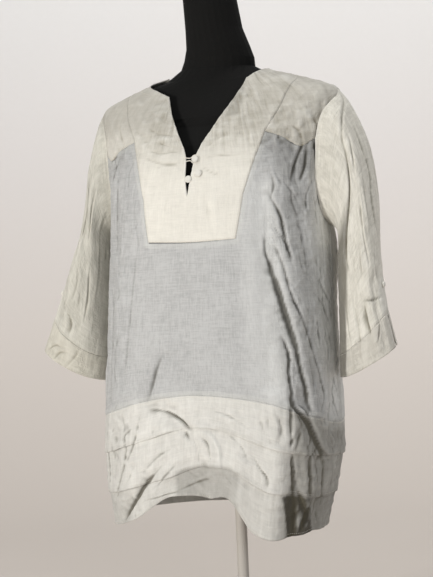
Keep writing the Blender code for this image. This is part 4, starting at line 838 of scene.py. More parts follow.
def body_field(arc, z):
    """The fine relief of the body's cloth on top of the solids' folds, in metres."""
    ahead = ahead_of(arc)
    place = wrapped(arc)
    low, panel, yoke = (np.interp(place, CRUMPLED[:, 0], CRUMPLED[:, k]) for k in (1, 2, 3))
    depth = low + (panel - low) * np.clip((z - 0.310) / 0.03, 0, 1)
    depth = depth + (yoke - depth) * np.clip((z - 0.735) / 0.03, 0, 1)
    smooth = body_smooth(arc, z)
    field = depth * (0.6 * crumple(smooth, 0.036, 5) + 0.8 * crumple(smooth, 0.015, 6))
    field = field + creased(metres(BODY_CREASES) + scattered(SCATTERED), ahead, z, ARC_SHRINK)
    swell = ((ahead - SWELL_ARC) / SWELL_ROUND) ** 2 + ((z - SWELL_Z) / SWELL_UP) ** 2
    field = field + SWELL_RISE * np.exp(-swell)
    near_form = np.clip((z - 0.775) / 0.03, 0, 1)
    return np.where(field < 0, field * (1 - 0.55 * near_form), field)


def wrinkled_at(arc, z):
    """How crumpled the cloth is, 0 to 1, which also sets the painted shade in its wrinkles: little at the middle of
    the front panel, most at the sides.
    """
    place = wrapped(arc)
    panel, tiers, yokes = (np.interp(place, WRINKLED[:, 0], WRINKLED[:, k]) for k in (1, 2, 3))
    out = panel + (tiers - panel) * np.clip((0.335 - z) / 0.02, 0, 1)
    return out + (yokes - out) * np.clip((z - 0.735) / 0.03, 0, 1)


def painted_light_shade_at(arc, z):
    """How much painted light (paler, up to 1) or painted shade (darker, down to -1) lies over the cloth's finish."""
    place = wrapped(arc)
    out = np.zeros(place.shape)
    for left, right, low, high, lean, soft, painted_light_shade in PAINTED_LIGHT_SHADE_AREAS:
        across = place - lean * (z - (low + high) / 2)
        inside = np.minimum(np.minimum(across - left, right - across), np.minimum(z - low, high - z))
        out = out + painted_light_shade * np.clip(inside / soft + 0.5, 0, 1)
    return np.clip(out, -1, 1)


def gathers(arc, z):
    """Small pleats where the front panel is gathered into the yoke."""
    side = np.abs(wrapped(arc))
    under = np.clip((YOKE_Z + 0.001 - z) / 0.050, 0, 1)
    there = np.clip((side - 0.158) / 0.008, 0, 1) * np.clip((0.228 - side) / 0.01, 0, 1) * (z < YOKE_Z + 0.004)
    waves = np.sin(side * 2 * math.pi / 0.0125 + 2.0 * np.sin(side * 90))
    waves = waves * np.where(wrapped(arc) > 0, 1.0, 0.5)
    return 0.0011 * waves * there * (1 - under) ** 1.5


def seam_tree(lines):
    """A search tree over points along seams, with how far along each point lies."""
    points = np.concatenate(lines)
    tree = kdtree.KDTree(len(points))
    for k, point in enumerate(points):
        tree.insert(point, k)
    tree.balance()
    return tree, np.concatenate([run_of(line) for line in lines])


def seam_marks(points, lines):
    """Distance of points to the nearest seam, and how far along it that is."""
    tree, along = seam_tree(lines)
    flat = points.reshape(-1, 3)
    found = [tree.find(point) for point in flat]
    distance = np.array([hit[2] for hit in found]).reshape(points.shape[:-1])
    at = np.array([along[hit[1]] for hit in found]).reshape(points.shape[:-1])
    return distance, at


def seam_relief(distance, along, cut, depth):
    """A groove at the seam, the seam allowance's ridge beside it, and small puckers across it."""
    groove = -cut * np.exp(-(distance / 0.0018) ** 2)
    band = 0.35 * depth * np.clip((SEAM_ALLOWANCE - distance) / 0.0015, 0, 1)
    pucker = np.sin(along * 2 * math.pi / 0.0105 + 2.2 * np.sin(along * 71))
    pucker = pucker + 0.6 * np.sin(along * 2 * math.pi / 0.0071 + 1)
    return groove + band + 0.45 * depth * pucker * np.exp(-((distance - 0.003) / 0.006) ** 2)


def on_body(line):
    """A seam of arc positions and heights as points in space, on the smooth body."""
    return body_smooth(line[:, 0], line[:, 1])


def add_mesh(name, points, faces, finish):
    """A new smooth-shaded object in the scene."""
    mesh = bpy.data.meshes.new(name)
    mesh.from_pydata(np.asarray(points).tolist(), [], faces)
    mesh.materials.append(finish)
    mesh.shade_smooth()
    piece = bpy.data.objects.new(name, mesh)
    bpy.context.scene.collection.objects.link(piece)
    return piece


def shell(node, points, faces, uv, thickness, finish, fields):
    """A thin shell of cloth that replaces a solid node."""
    piece = add_mesh(node + "_cloth", points + PLACE, faces, finish)
    mesh = piece.data
    layer = mesh.uv_layers.new(name="cloth")
    corners = np.array([k for face in faces for k in face])
    layer.data.foreach_set("uv", uv[corners].astype(np.float32).ravel())
    for name, values in fields.items():
        made = mesh.attributes.new(name, "FLOAT", "POINT")
        made.data.foreach_set("value", np.asarray(values, np.float32).ravel())
    solid = piece.modifiers.new("thickness", "SOLIDIFY")
    solid.thickness = thickness
    solid.offset = -1
    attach(piece, "root")
    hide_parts(node)


def body_cloth(node, grids, seams, finish, offset=None, doubled=0.0, extra=None):
    """A shell on the body from grids of arc positions and heights, with its creases and seams."""
    thickness, seam_form = (DOUBLED, DOUBLED_SEAM) if doubled else (SINGLE, SINGLE_SEAM)
    places, faces = welded(grids)
    arc, z = places[:, 0], places[:, 1]
    smooth = body_smooth(arc, z)
    coarse = body_coarse(arc, z)
    fine = body_field(arc, z)
    if extra is not None:
        fine = fine + extra(arc, z)
    distance, along = seam_marks(smooth, seams)
    height = fine * np.clip(distance / 0.004 + 0.55, 0, 1) + seam_relief(distance, along, *seam_form)
    out = normals(body_folded, arc, z)
    rise = height if offset is None else height + offset(arc, z)
    points = body_folded(arc, z) + out * rise[:, None]
    # painted shade in the troughs of folds and creases, weaker behind the side seams, and a painted highlight on
    # their crests
    seen = np.where(np.abs(wrapped(arc)) > SIDE + 0.04, TROUGH_BEHIND, 1.0)
    beside = 0.0 if doubled else np.clip((SEAM_ALLOWANCE - distance) / 0.001, 0, 1) * 0.5
    fields = {
        "trough": seen * np.clip(-(fine * 380 + coarse * 40) - 0.14, 0, 1),
        "crest": np.clip(fine * 330 + coarse * 40, 0, 1),
        "doubled": np.clip(doubled + beside + 0 * arc, 0, 1),
        "wrinkled": wrinkled_at(arc, z),
        "painted_light_shade": painted_light_shade_at(arc, z),
    }
    uv = np.stack([arc * 0.9, z], -1)
    shell(node, points, faces, uv, thickness, finish, fields)


def make_body(finishes):
    """Every piece of the body in cloth."""
    seams = {name: seam(rows, FINE[name]) for name, rows in {
        "bib low": BIB_EDGE_LOW, "bib middle": BIB_EDGE_MIDDLE, "bib top": BIB_EDGE_TOP,
        "limb": [BIB_BOTTOM[-1], (SIDE, CHEST_Z)], "yoke": FRONT_YOKE_SEAM,
        "arm low": ARMHOLE_FRONT_LOW, "arm top": ARMHOLE_FRONT_TOP,
        "arm back top": ARMHOLE_BACK_TOP, "arm back low": ARMHOLE_BACK_LOW,
        "shoulder": [(SIDE, SHOULDER_TIP_Z), (SIDE, BIB_TOP_Z)],
        "shoulder inner": [(SIDE, BIB_TOP_Z), (SIDE, NECK_POINT_Z)],
        "side low": [(SIDE, PANEL_BOTTOM), (SIDE, CHEST_Z)],
        "side top": [(SIDE, CHEST_Z), (SIDE, UNDERARM_Z)],
    }.items()}
    seams["bib bottom"] = seam(BIB_BOTTOM, 2 * FINE["half bib"])
    bib_edge = joined(seams["bib low"], seams["bib middle"], seams["bib top"])
    side = joined(seams["side low"], seams["side top"])
    arm_front = joined(seams["arm low"], seams["arm top"])
    arm_back = joined(seams["arm back top"], seams["arm back low"])

    # bib
    outer = joined(seams["bib middle"], seams["bib top"], seams["shoulder inner"])
    halves, openings = [], []
    for across, opening, neck in ((1, OPENING_LEFT, NECK_LEFT), (-1, OPENING_RIGHT, NECK_RIGHT)):
        edge = outer * (across, 1)
        inner = seam(opening, len(outer) - 1)
        bottom = np.linspace(inner[0], edge[0], FINE["half bib"] + 1)
        top = seam(neck, FINE["half bib"])
        openings += [on_body(inner), on_body(top)]
        if across > 0:
            halves.append(spread(bottom, top, inner, edge))
        else:
            halves.append(spread(bottom[::-1], top[::-1], edge, inner))
    level = joined(halves[1][:, 0], halves[0][:, 0])
    base = spread(seams["bib bottom"], level, mirrored(seams["bib low"]), seams["bib low"])
    bib_lines = [on_body(seams["bib bottom"]), on_body(bib_edge), on_body(mirrored(bib_edge))]

    def opened(arc, z):
        """A slight rise along the open neck's edges."""
        distance, _ = seam_marks(body_smooth(arc, z), openings)
        return 0.0016 * np.exp(-distance / 0.006)

    body_cloth("bib", [base] + halves, bib_lines, finishes["doubled"],
               doubled=1, extra=opened)

    # front
    top = joined(mirrored(seams["limb"])[::-1], seams["bib bottom"], seams["limb"])
    bottom = level_edge(-SIDE, SIDE, len(top), PANEL_BOTTOM)
    field = spread(bottom, top, mirrored(seams["side low"]), seams["side low"])
    inner = joined(seams["bib low"], seams["bib middle"])
    far = joined(seams["side top"], seams["arm low"])
    left = spread(seams["limb"], seams["yoke"], inner, far)
    right = spread(mirrored(seams["limb"])[::-1], mirrored(seams["yoke"])[::-1], mirrored(far), mirrored(inner))
    hem_line = on_body(level_edge(-SIDE, SIDE, 200, PANEL_BOTTOM))
    front_lines = bib_lines + [
        on_body(half) for line in (side, arm_front, seams["yoke"]) for half in (line, mirrored(line))
    ] + [hem_line]
    body_cloth("front_panel", [field, left, right], front_lines, finishes["panel"],
               extra=gathers)

    # front yokes
    shoulder = seams["shoulder"][::-1]
    yoke_left = spread(seams["yoke"], shoulder, seams["bib top"], seams["arm top"])
    yoke_right = spread(mirrored(seams["yoke"])[::-1], mirrored(shoulder)[::-1],
                        mirrored(seams["arm top"]), mirrored(seams["bib top"]))
    for node, grid, across in (("front_yoke_left", yoke_left, 1), ("front_yoke_right", yoke_right, -1)):
        lines = [on_body(seams[name] * (across, 1)) for name in ("yoke", "shoulder", "bib top", "arm top")]
        body_cloth(node, [grid], lines, finishes["doubled"], doubled=0.8)

    # back
    columns = FINE["back"] + 1
    left = joined(seams["arm back top"][::-1], seams["shoulder"], seams["shoulder inner"])
    yoke_start = seams["arm back low"][0, 0]
    yoke_bottom = level_edge(yoke_start, 4 * SIDE - yoke_start, columns, BACK_YOKE_Z)
    neck = seam(BACK_NECK, FINE["back"])
    back_lines = [on_body(yoke_bottom)] + [
        on_body(half) for line in (arm_back, seams["shoulder"]) for half in (line, turned(line))
    ]
    body_cloth("back_yoke", [spread(yoke_bottom, neck, left, turned(left))], back_lines, finishes["doubled"],
               doubled=0.8)
    chest = level_edge(SIDE, 3 * SIDE, columns, CHEST_Z)
    bottom = level_edge(SIDE, 3 * SIDE, columns, PANEL_BOTTOM)
    upper = joined(seams["side top"], seams["arm back low"][::-1])
    field = spread(bottom, chest, seams["side low"], turned(seams["side low"]))
    top = spread(chest, yoke_bottom, upper, turned(upper))
    back_lines += [on_body(side), on_body(turned(side)), on_body(bottom)]
    body_cloth("back_panel", [field, top], back_lines, finishes["panel"])

    make_tiers(finishes["tier"])
    return seams


def make_tiers(finish):
    """The three hem bands, each from just inside the lower edge of the one above."""
    front = 2 * (FINE["half bib"] + FINE["limb"]) + 1
    for tier in range(TIERS):
        top = PANEL_BOTTOM - tier * TIER_HEIGHT
        low = top - TIER_HEIGHT
        levels = np.linspace(low, top, TIER_ROWS)
        if tier:
            levels = np.append(levels, [top + TIER_OVERLAP / 2, top + TIER_OVERLAP])
        outs = [(low, TIER_FLARE), (low + TIER_OVERLAP, 0.75 * TIER_FLARE), ((low + top) / 2, 0.2 * TIER_FLARE)]
        outs += [(top, -TIER_TUCK), (top + TIER_OVERLAP, -TIER_TUCK - TIER_FLARE / 8)] if tier else [(top, 0)]
        for name, start, end, count in (("front", -SIDE, SIDE, front), ("back", SIDE, 3 * SIDE, FINE["back"] + 1)):
            grid = np.stack([level_edge(start, end, count, z) for z in levels], 1)
            edges = [on_body(level_edge(start, end, 300, low)), on_body(grid[0]), on_body(grid[-1])]

            def offset(arc, z, low=low, outs=outs):
                """The tier's flare towards its lower edge, with a slight flutter."""
                flutter = 0.0012 * np.sin(arc * 2 * math.pi / 0.083 + 1.3 * low * 90)
                flutter = flutter * np.clip((low + 0.03 - z) / 0.03, 0, 1)
                return np.interp(z, *np.array(outs).T) + flutter

            body_cloth(f"tier_{tier + 1}_{name}", [grid], edges, finish,
                       offset=offset, doubled=0.75)


def sleeve_grid(seams, side):
    """A sleeve's fine grid: points, outward normals, how far round and down it each point lies, and its relief."""
    across = 1 if side == "left" else -1
    loop = joined(seams["arm low"], seams["arm top"], seams["arm back top"], seams["arm back low"])[:-1]
    count = len(loop)
    start = body_folded(across * loop[:, 0], loop[:, 1]) * (across, 1, 1)
    from_middle = (start - (start.max(axis=0) + start.min(axis=0)) / 2) / np.ptp(start, axis=0)
    angle = np.arctan2(from_middle[:, 1], from_middle[:, 2])
    first = np.argmin(np.abs(angle - SLIT_ANGLE))
    order = (first + np.arange(count + 1)) % count
    turn = (angle[order] - angle[first]) % (2 * math.pi)
    turn[-1] = 2 * math.pi
    rows = np.concatenate([
        SLEEVE_LEVELS,
        np.linspace(SLIT_TOP, CUFF_TOP, SLIT_ROWS + 1)[1:],
        np.linspace(CUFF_TOP, CUFF_BOTTOM, CUFF_ROWS + 1)[1:],
    ])
    opening = SLIT_OPENING * np.clip((rows - SLIT_TOP) / (CUFF_BOTTOM - SLIT_TOP), 0, 1) ** 0.8
    turned_by = SLIT_ANGLE + opening[:, None] / 2 + turn * (1 - opening[:, None] / (2 * math.pi))
    along = np.repeat(rows[:, None], count + 1, axis=1)
    keep = np.clip(1 - along / ARMHOLE_BLEND, 0, 1) ** 2
    points = keep[..., None] * start[order] + (1 - keep[..., None]) * sleeve_oval(side, turned_by, along)
    around = ((turned_by + math.pi) % (2 * math.pi) - math.pi) * SLEEVE_RADIUS
    free = 1 - keep
    coarse = SLEEVE_FOLD_SHARE * relief(SLEEVE_FOLDS, around, along) * free
    points = points + grid_normals(points) * coarse[..., None]
    out = grid_normals(points)
    whole = 2 * math.pi * SLEEVE_RADIUS
    table = metres(SLEEVE_CREASES[side]) + scattered(SLEEVE_SCATTERED)
    fine = sum(creased(table, around + shift, along) for shift in (-whole, 0, whole))
    fine = (fine + 0.0013 * (0.7 * crumple(points, 0.034, 8) + 0.7 * crumple(points, 0.015, 9))) * free
    cap = np.clip(along / 0.006, 0, 1) * np.exp(-along / 0.014)
    fine = fine + 0.0006 * np.sin(around * 2 * math.pi / 0.0118 + 2 * np.sin(around * 61)) * cap
    edge = np.abs(along - CUFF_TOP)
    fine = fine - 0.0005 * np.exp(-(edge / 0.002) ** 2)
    points = points + out * fine[..., None]
    uncut = rows <= SLIT_TOP
    points[uncut, -1], out[uncut, -1] = points[uncut, 0], out[uncut, 0]
    beside = np.minimum(turn, 2 * math.pi - turn)[None] * SLEEVE_RADIUS
    patch = np.clip((0.021 - beside) / 0.0012, 0, 1)
    patch = patch * np.clip((along - (SLIT_TOP - FACING_HEIGHT) - 36 * beside**2) / 0.0012, 0, 1)
    # painted shadow on the strip of the sleeve nearest the body, where the body shades it
    shadow_edge = np.interp(along, SHADOW_EDGE[:, 1], SHADOW_EDGE[:, 0])
    shadow = np.clip((shadow_edge - around) / 0.006, 0, 1) * np.clip((along - 0.100) / 0.040, 0, 1)
    # painted shade in the troughs of the sleeve's folds and creases, and a painted highlight on their crests
    rows_of = {
        "trough": np.clip(-(fine * 380 + coarse * 40) - 0.14, 0, 1),
        "crest": np.clip(fine * 300 + coarse * 40, 0, 1),
        "doubled": np.clip(patch + 0.5 * (along < SEAM_ALLOWANCE), 0, 1),
        "wrinkled": np.full(along.shape, SLEEVE_WRINKLED[side]),
        "painted_light_shade": -SLEEVE_SHADE[side] * shadow,
        "u": around, "v": along,
    }
    if side == "right":
        points, out = points[:, ::-1] * (-1, 1, 1), out[:, ::-1] * (-1, 1, 1)
        rows_of = {key: np.broadcast_to(value, along.shape)[:, ::-1] for key, value in rows_of.items()}
    return points, out, rows_of


def make_sleeves(seams, finishes):
    """Both sleeves and their cuffs. Returns each one's grid, for its stitches and button."""
    grids = {}
    cut = SLEEVE_ROWS + SLIT_ROWS
    for side in ("left", "right"):
        points, out, fields = sleeve_grid(seams, side)
        grids[side] = points, out
        sheet = np.concatenate([points] + [fields[key][..., None] for key in (*FIELDS, "u", "v")], axis=-1)
        for node, part, thickness, finish, flat, doubled in (
            (f"sleeve_{side}", slice(0, cut + 1), SINGLE, finishes["sleeve " + side], (0.36, 0.35), 0),
            (f"cuff_{side}", slice(cut, None), DOUBLED, finishes["cuff " + side], (0.29, 0.055), 0.75),
        ):
            block = sheet[part]
            rows, faces = welded([block.transpose(1, 0, 2)])
            at = rows[:, :3]
            middle = block[..., :3].mean(axis=(0, 1))
            facing = np.median([
                np.dot(np.cross(at[b] - at[a], at[c] - at[b]), at[a] - middle) for a, b, c, _ in faces[::37]
            ])
            if facing < 0:
                faces = [face[::-1] for face in faces]
            values = dict(zip(FIELDS, rows[:, 3:8].T))
            values["doubled"] = np.clip(values["doubled"] + doubled, 0, 1)
            shell(node, at, faces, rows[:, 8:10], thickness, finish, values)
    return grids


def make_facings(grids, finish):
    """The facing round the inside of each sleeve's slit."""
    rows = slice(int(np.searchsorted(SLEEVE_LEVELS, SLIT_TOP - FACING_HEIGHT)), SLEEVE_ROWS + SLIT_ROWS + 1)
    for side, (points, out) in grids.items():
        inside = points - out * (SINGLE + 0.0004)
        halves = (inside[rows, -FACING_COLUMNS:], inside[rows, :FACING_COLUMNS])
        places, faces = welded([half.transpose(1, 0, 2) for half in halves])
        values = {key: np.full(len(places), key == "doubled") for key in FIELDS}
        if side == "right":
            faces = [face[::-1] for face in faces]
        shell(f"slit_facing_{side}", places, faces, places[:, 1:3], FACING_THICKNESS, finish,
              values)


def mesh_piece(name, points, faces, finish, nodes=()):
    """A plain mesh piece on the part."""
    piece = add_mesh(name, np.array(points) + PLACE, faces, finish)
    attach(piece, "root")
    if nodes:
        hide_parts(*nodes)


def stitches(name, lines, finish, pitch=0.0031, length=0.0022, radius=0.00022):
    """Rows of stitches: small pointed threads lying on the cloth along lines of points and normals."""
    points, faces = [], []
    for line, out in lines:
        run = run_of(line)
        for at in np.arange(pitch / 2, run[-1] - length, pitch):
            ends = [np.array([np.interp(s, run, line[:, k]) for k in range(3)]) for s in (at, at + length)]
            up = unit(np.array([np.interp(at, run, out[:, k]) for k in range(3)]))
            way = unit(ends[1] - ends[0])
            aside = np.cross(way, up)
            first = len(points)
            points += [ends[0], ends[1]]
            for s in (0.22, 0.78):
                middle = ends[0] + (ends[1] - ends[0]) * s + up * radius * 0.9
                points += [middle + way_out * radius for way_out in (aside, up, -aside, -up)]
            for k in range(4):
                a, b = first + 2 + k, first + 2 + (k + 1) % 4
                faces += [(first, b, a), (a, b, b + 4, a + 4), (first + 1, a + 4, b + 4)]
    mesh_piece(name, points, faces, finish)


def body_line(rows, count, rise=0.0, shift=(0, 0)):
    """Points and normals along a line of arc positions and heights, on the creased cloth."""
    places = curve_of(rows, count) + shift
    arc, z = places[:, 0], places[:, 1]
    out = normals(body_folded, arc, z)
    return body_folded(arc, z) + out * (body_field(arc, z) + rise)[:, None], out


def make_stitching(grids, thread):
    """Top stitching beside the seams, along the hems and round the cuffs."""
    bib = BIB_EDGE_LOW + BIB_EDGE_MIDDLE[1:] + BIB_EDGE_TOP[1:]
    armhole = ARMHOLE_FRONT_LOW[1:] + ARMHOLE_FRONT_TOP[1:]
    lines = []
    for side in (1, -1):
        for rows, count, shift in (
            (bib, 200, (-0.0035 * side, 0)), (FRONT_YOKE_SEAM, 60, (0, 0.003)), (armhole, 160, (-0.005 * side, 0)),
        ):
            lines.append(body_line([(a * side, z) for a, z in rows], count, shift=shift))
    lines.append(body_line(BIB_BOTTOM, 80, shift=(0, 0.0025)))
    for opening, neck, aside in ((OPENING_RIGHT, NECK_RIGHT, -0.008), (OPENING_LEFT, NECK_LEFT, 0.008)):
        edge = [(a + aside, z) for a, z in opening[1:]] + [(a, z - 0.007) for a, z in neck[1:]]
        lines.append(body_line(edge, 160, rise=0.0006))
    lines.append(body_line(level_edge(0.318, 4 * SIDE - 0.318, 9, BACK_YOKE_Z + 0.003), 200))
    lines.append(body_line([(a, z - 0.007) for a, z in BACK_NECK], 160))
    stitches("body_stitching", lines, thread)
    hems = []
    for tier in range(TIERS):
        low = PANEL_BOTTOM - (tier + 1) * TIER_HEIGHT
        hems.append(body_line(level_edge(-SIDE, 3 * SIDE, 17, low + 0.004), 420, rise=TIER_FLARE * 0.95))
    hems.append(body_line(level_edge(-SIDE, 3 * SIDE, 17, PANEL_BOTTOM - 0.003), 420))
    stitches("hem_stitching", hems, thread)
    cut = SLEEVE_ROWS + SLIT_ROWS
    cuffs = [(points[row], out[row]) for points, out in grids.values() for row in (cut + 1, cut + CUFF_ROWS - 1)]
    stitches("cuff_stitching", cuffs, thread)


def ring_faces(rings, sides):
    """The faces of a closed solid through rings of points, with flat ends."""
    faces = []
    for i in range(rings - 1):
        for k in range(sides):
            after = (k + 1) % sides
            faces.append((i * sides + k, i * sides + after, (i + 1) * sides + after, (i + 1) * sides + k))
    return faces + [tuple(reversed(range(sides))), tuple(range((rings - 1) * sides, rings * sides))]


def covered_button(node, diameter, foot, out, finish, segments=48):
    """A button standing on foot along out: a domed, cloth-covered cap, its rim softly pleated."""
    turn = Vector(out).to_track_quat("Z", "Y").to_matrix()
    points = []
    for radius, level in BUTTON_PROFILE:
        pleats = BUTTON_PLEATS * (level < 0.6)
        level = level * BUTTON_THICKNESS
        for k in range(segments):
            a = 2 * math.pi * k / segments
            r = radius * diameter * (1 + pleats * math.sin(a * 11 + level * 900))
            points.append(tuple(Vector(foot) + turn @ Vector((r * math.cos(a), r * math.sin(a), level))))
    faces = ring_faces(len(BUTTON_PROFILE), segments)
    mesh_piece(node + "_cap", points, faces, finish, [node])


def make_buttons(grids, finish):
    """The covered buttons at the neck slit and on the cuffs."""
    for node, (arc, z) in NECK_BUTTONS.items():
        at = np.array([arc]), np.array([z])
        out = normals(body_folded, *at)[0]
        foot = body_folded(*at)[0] + out * SEAM_GAP
        covered_button(node, BUTTON_DIAMETER, foot, out, finish)
    for side, (points, out) in grids.items():
        node = f"cuff_button_{side}"
        low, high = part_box(node)
        middle = (np.array(low) + np.array(high)) / 2 - PLACE
        near = np.linalg.norm(points - middle, axis=-1)
        row, column = np.unravel_index(near.argmin(), near.shape)
        way = out[row, column]
        covered_button(node, CUFF_BUTTON_DIAMETER, middle - way * BUTTON_THICKNESS / 2, way, finish)


def make_loop(finish):
    """The cord loop round the top button, twisted from two strands."""
    arc, z = np.array([NECK_BUTTONS["button_top"]] + LOOP_ENDS).T
    out = normals(body_folded, arc, z)
    button, top_end, low_end = body_folded(arc, z) + out * (SEAM_GAP + LOOP_THICKNESS / 2)
    across = unit(np.cross((0, 0, 1), out[0]))
    up = np.cross(out[0], across)
    radius = BUTTON_DIAMETER / 2 + SEAM_GAP + LOOP_THICKNESS / 2
    turn = np.linspace(math.pi - LOOP_START, LOOP_START - math.pi, 14)[:, None]
    around = button + radius * (np.cos(turn) * across + np.sin(turn) * up)
    centre = curve_of(np.concatenate([[top_end], around, [low_end]]), CORD_POINTS)
    way = unit(np.gradient(centre, axis=0))
    side = unit(np.cross(way, out[0]))
    rise = np.cross(side, way)
    points = []
    for i, c in enumerate(centre):
        for k in range(CORD_SIDES):
            a = 2 * math.pi * k / CORD_SIDES
            r = LOOP_THICKNESS / 2 * (0.86 + 0.14 * abs(math.cos(a - i * CORD_TWIST)))
            points.append(c + (side[i] * math.cos(a) + rise[i] * math.sin(a)) * r)
    faces = [face[::-1] for face in ring_faces(len(centre), CORD_SIDES)]
    mesh_piece("button_loop_cord", points, faces, finish, ["button_loop"])


class Nodes:
    """Short names for building a material's nodes."""

    def __init__(self, name):
        self.material = bpy.data.materials.new(name)
        self.material.use_nodes = True
        self.tree = self.material.node_tree
        self.shader = self.tree.nodes["Principled BSDF"]

    def add(self, kind, inputs=(), **settings):
        node = self.tree.nodes.new(kind)
        for key, value in settings.items():
            setattr(node, key, value)
        for key, value in dict(inputs).items():
            if isinstance(value, bpy.types.NodeSocket):
                self.tree.links.new(value, node.inputs[key])
            else:
                node.inputs[key].default_value = value
        return node

    def link(self, out, key):
        self.tree.links.new(out, self.shader.inputs[key])

    def plug(self, key, value):
        self.shader.inputs[key].default_value = value

    def place(self):
        return self.add("ShaderNodeTexCoord").outputs["Object"]

    def field(self, name):
        return self.add("ShaderNodeAttribute", attribute_name=name).outputs["Fac"]

    def math(self, operation, a, b=0.0, clamp=False):
        return self.add("ShaderNodeMath", {0: a, 1: b}, operation=operation, use_clamp=clamp).outputs[0]

    def mix(self, share, a, b):
        node = self.add("ShaderNodeMix", {"Factor": share}, data_type="RGBA")
        for key, value in ((6, a), (7, b)):
            if isinstance(value, bpy.types.NodeSocket):
                self.tree.links.new(value, node.inputs[key])
            else:
                node.inputs[key].default_value = (*value, 1)
        return node.outputs[2]

    def spread(self, value, low, high, to_low=0.0, to_high=1.0):
        return self.add("ShaderNodeMapRange", {0: value, 1: low, 2: high, 3: to_low, 4: to_high}).outputs[0]

    def noise(self, vector, scale, detail=3.0, rough=0.6):
        inputs = {"Vector": vector, "Scale": scale, "Detail": detail, "Roughness": rough}
        return self.add("ShaderNodeTexNoise", inputs).outputs[0]

    def bump(self, strength, distance, height):
        inputs = {"Strength": strength, "Distance": distance, "Height": height}
        self.link(self.add("ShaderNodeBump", inputs).outputs[0], "Normal")


def linen(name, light, dark, doubled, deep, weave=1.0, creases=1.0, line_share=0.35):
    """Plain-weave linen: uneven threads both ways, cloudy thickness, whiter where doubled, and creased, with painted
    light and shade over it, painted shade in its troughs and wrinkle hollows and a painted highlight on its crests.
    """
    n = Nodes(name)
    uv = n.add("ShaderNodeUVMap", uv_map="cloth").outputs[0]

    def stretched(across, along, detail=1.0):
        scaled = n.add("ShaderNodeMapping", {"Vector": uv, "Scale": (across, along, 1)}).outputs[0]
        return n.noise(scaled, 1.0, detail)

    threads = n.math("ADD", stretched(820, 90, 2.0), stretched(90, 780, 2.0))
    slubs = n.math("ADD", stretched(400, 34), stretched(30, 380))
    at = n.place()
    cloud = n.noise(at, 16.0, 3.0, 0.55)
    share = n.math("ADD", n.spread(threads, 0.74, 1.26, 0, 0.5 * weave), n.spread(slubs, 0.70, 1.30, 0, 0.5 * weave))
    share = n.math("ADD", share, n.spread(cloud, 0.3, 0.7, -0.10, 0.30), clamp=True)
    colour = n.mix(share, dark, light)
    # painted light pulls the colour towards a pale one and painted shade towards darkened threads, on single and on
    # doubled cloth
    painted_light_shade = n.field("painted_light_shade")
    colour = n.mix(n.spread(painted_light_shade, 0, 1), colour, PAINTED_LIGHT)
    shade = [share_left * c for share_left, c in zip(SHADE_SHARE, dark)]
    colour = n.mix(n.spread(painted_light_shade, 0, -1), colour, shade)
    second = n.mix(n.spread(share, 0, 1, 0.0, 0.8), [0.84 * c for c in doubled], doubled)
    second = n.mix(n.spread(painted_light_shade, 0, -1), second, shade)
    colour = n.mix(n.field("doubled"), colour, second)

    # small wrinkles where the cloth is crumpled: ripples along its fall, crossed by fainter ones, as bumps and as
    # painted shade in their hollows
    falling = n.math("MULTIPLY", stretched(125, 22, 2.5), 0.62)
    ripples = n.math("ADD", falling, n.math("MULTIPLY", stretched(30, 110, 2.5), 0.38))
    sharp = n.math("ABSOLUTE", n.math("SUBTRACT", ripples, 0.47))
    lines = n.math("MULTIPLY", n.spread(sharp, 0, 0.035, 1, 0), n.spread(stretched(50, 16), 0.40, 0.60))
    hollow = n.math("ADD", n.spread(ripples, 0.30, 0.62, 0.8, 0), n.math("MULTIPLY", lines, line_share))
    lines = n.math("MULTIPLY", hollow, n.field("wrinkled"), clamp=True)
    # a painted highlight on the crests, then painted shade in the troughs and in the hollows of the small wrinkles
    colour = n.mix(n.math("MULTIPLY", n.field("crest"), 0.35), colour, [min(0.88, 1.10 * c) for c in doubled])
    trough = n.math("MULTIPLY", n.field("trough"), 0.86)
    painted_shade_share = n.math("MAXIMUM", trough, n.math("MULTIPLY", lines, 0.30 * creases))
    colour = n.mix(painted_shade_share, colour, deep)
    n.link(colour, "Base Color")
    n.link(n.spread(threads, 0.7, 1.3, 0.97, 0.84), "Roughness")
    small = n.noise(at, 150.0, 4.0, 0.6)
    height = n.math("ADD", n.math("MULTIPLY", threads, 0.28), n.math("MULTIPLY", slubs, 0.30))
    height = n.math("ADD", height, n.math("MULTIPLY", small, 0.8))
    height = n.math("SUBTRACT", height, n.math("MULTIPLY", lines, 1.6 * creases))
    n.bump(0.6, 0.0010, height)
    n.plug("Sheen Weight", 0.12)
    n.plug("Sheen Roughness", 0.6)
    n.plug("Specular IOR Level", 0.2)
    return n.material


def jersey(name):
    """Black stretch jersey over the form, with faint lint."""
    n = Nodes(name)
    at = n.place()
    fine = n.noise(at, 900.0, 2.0)
    cloud = n.noise(at, 22.0, 3.0)
    share = n.math("ADD", n.spread(fine, 0.3, 0.7, 0, 0.5), n.spread(cloud, 0.3, 0.7, 0, 0.5), clamp=True)
    n.link(n.mix(share, (0.003, 0.003, 0.0028), (0.008, 0.0078, 0.0072)), "Base Color")
    n.link(n.spread(cloud, 0.3, 0.7, 0.85, 0.97), "Roughness")
    n.bump(0.25, 0.0004, fine)
    n.plug("Specular IOR Level", 0.2)
    return n.material


def powder_coat(name):
    """Pale powder-coated steel with a fine orange-peel surface."""
    n = Nodes(name)
    at = n.place()
    fine = n.noise(at, 1400.0, 2.0)
    cloud = n.noise(at, 12.0, 3.0)
    n.link(n.mix(n.spread(cloud, 0.3, 0.7), (0.50, 0.46, 0.41), (0.56, 0.52, 0.47)), "Base Color")
    n.link(n.spread(cloud, 0.3, 0.7, 0.42, 0.55), "Roughness")
    n.bump(0.2, 0.0002, fine)
    return n.material


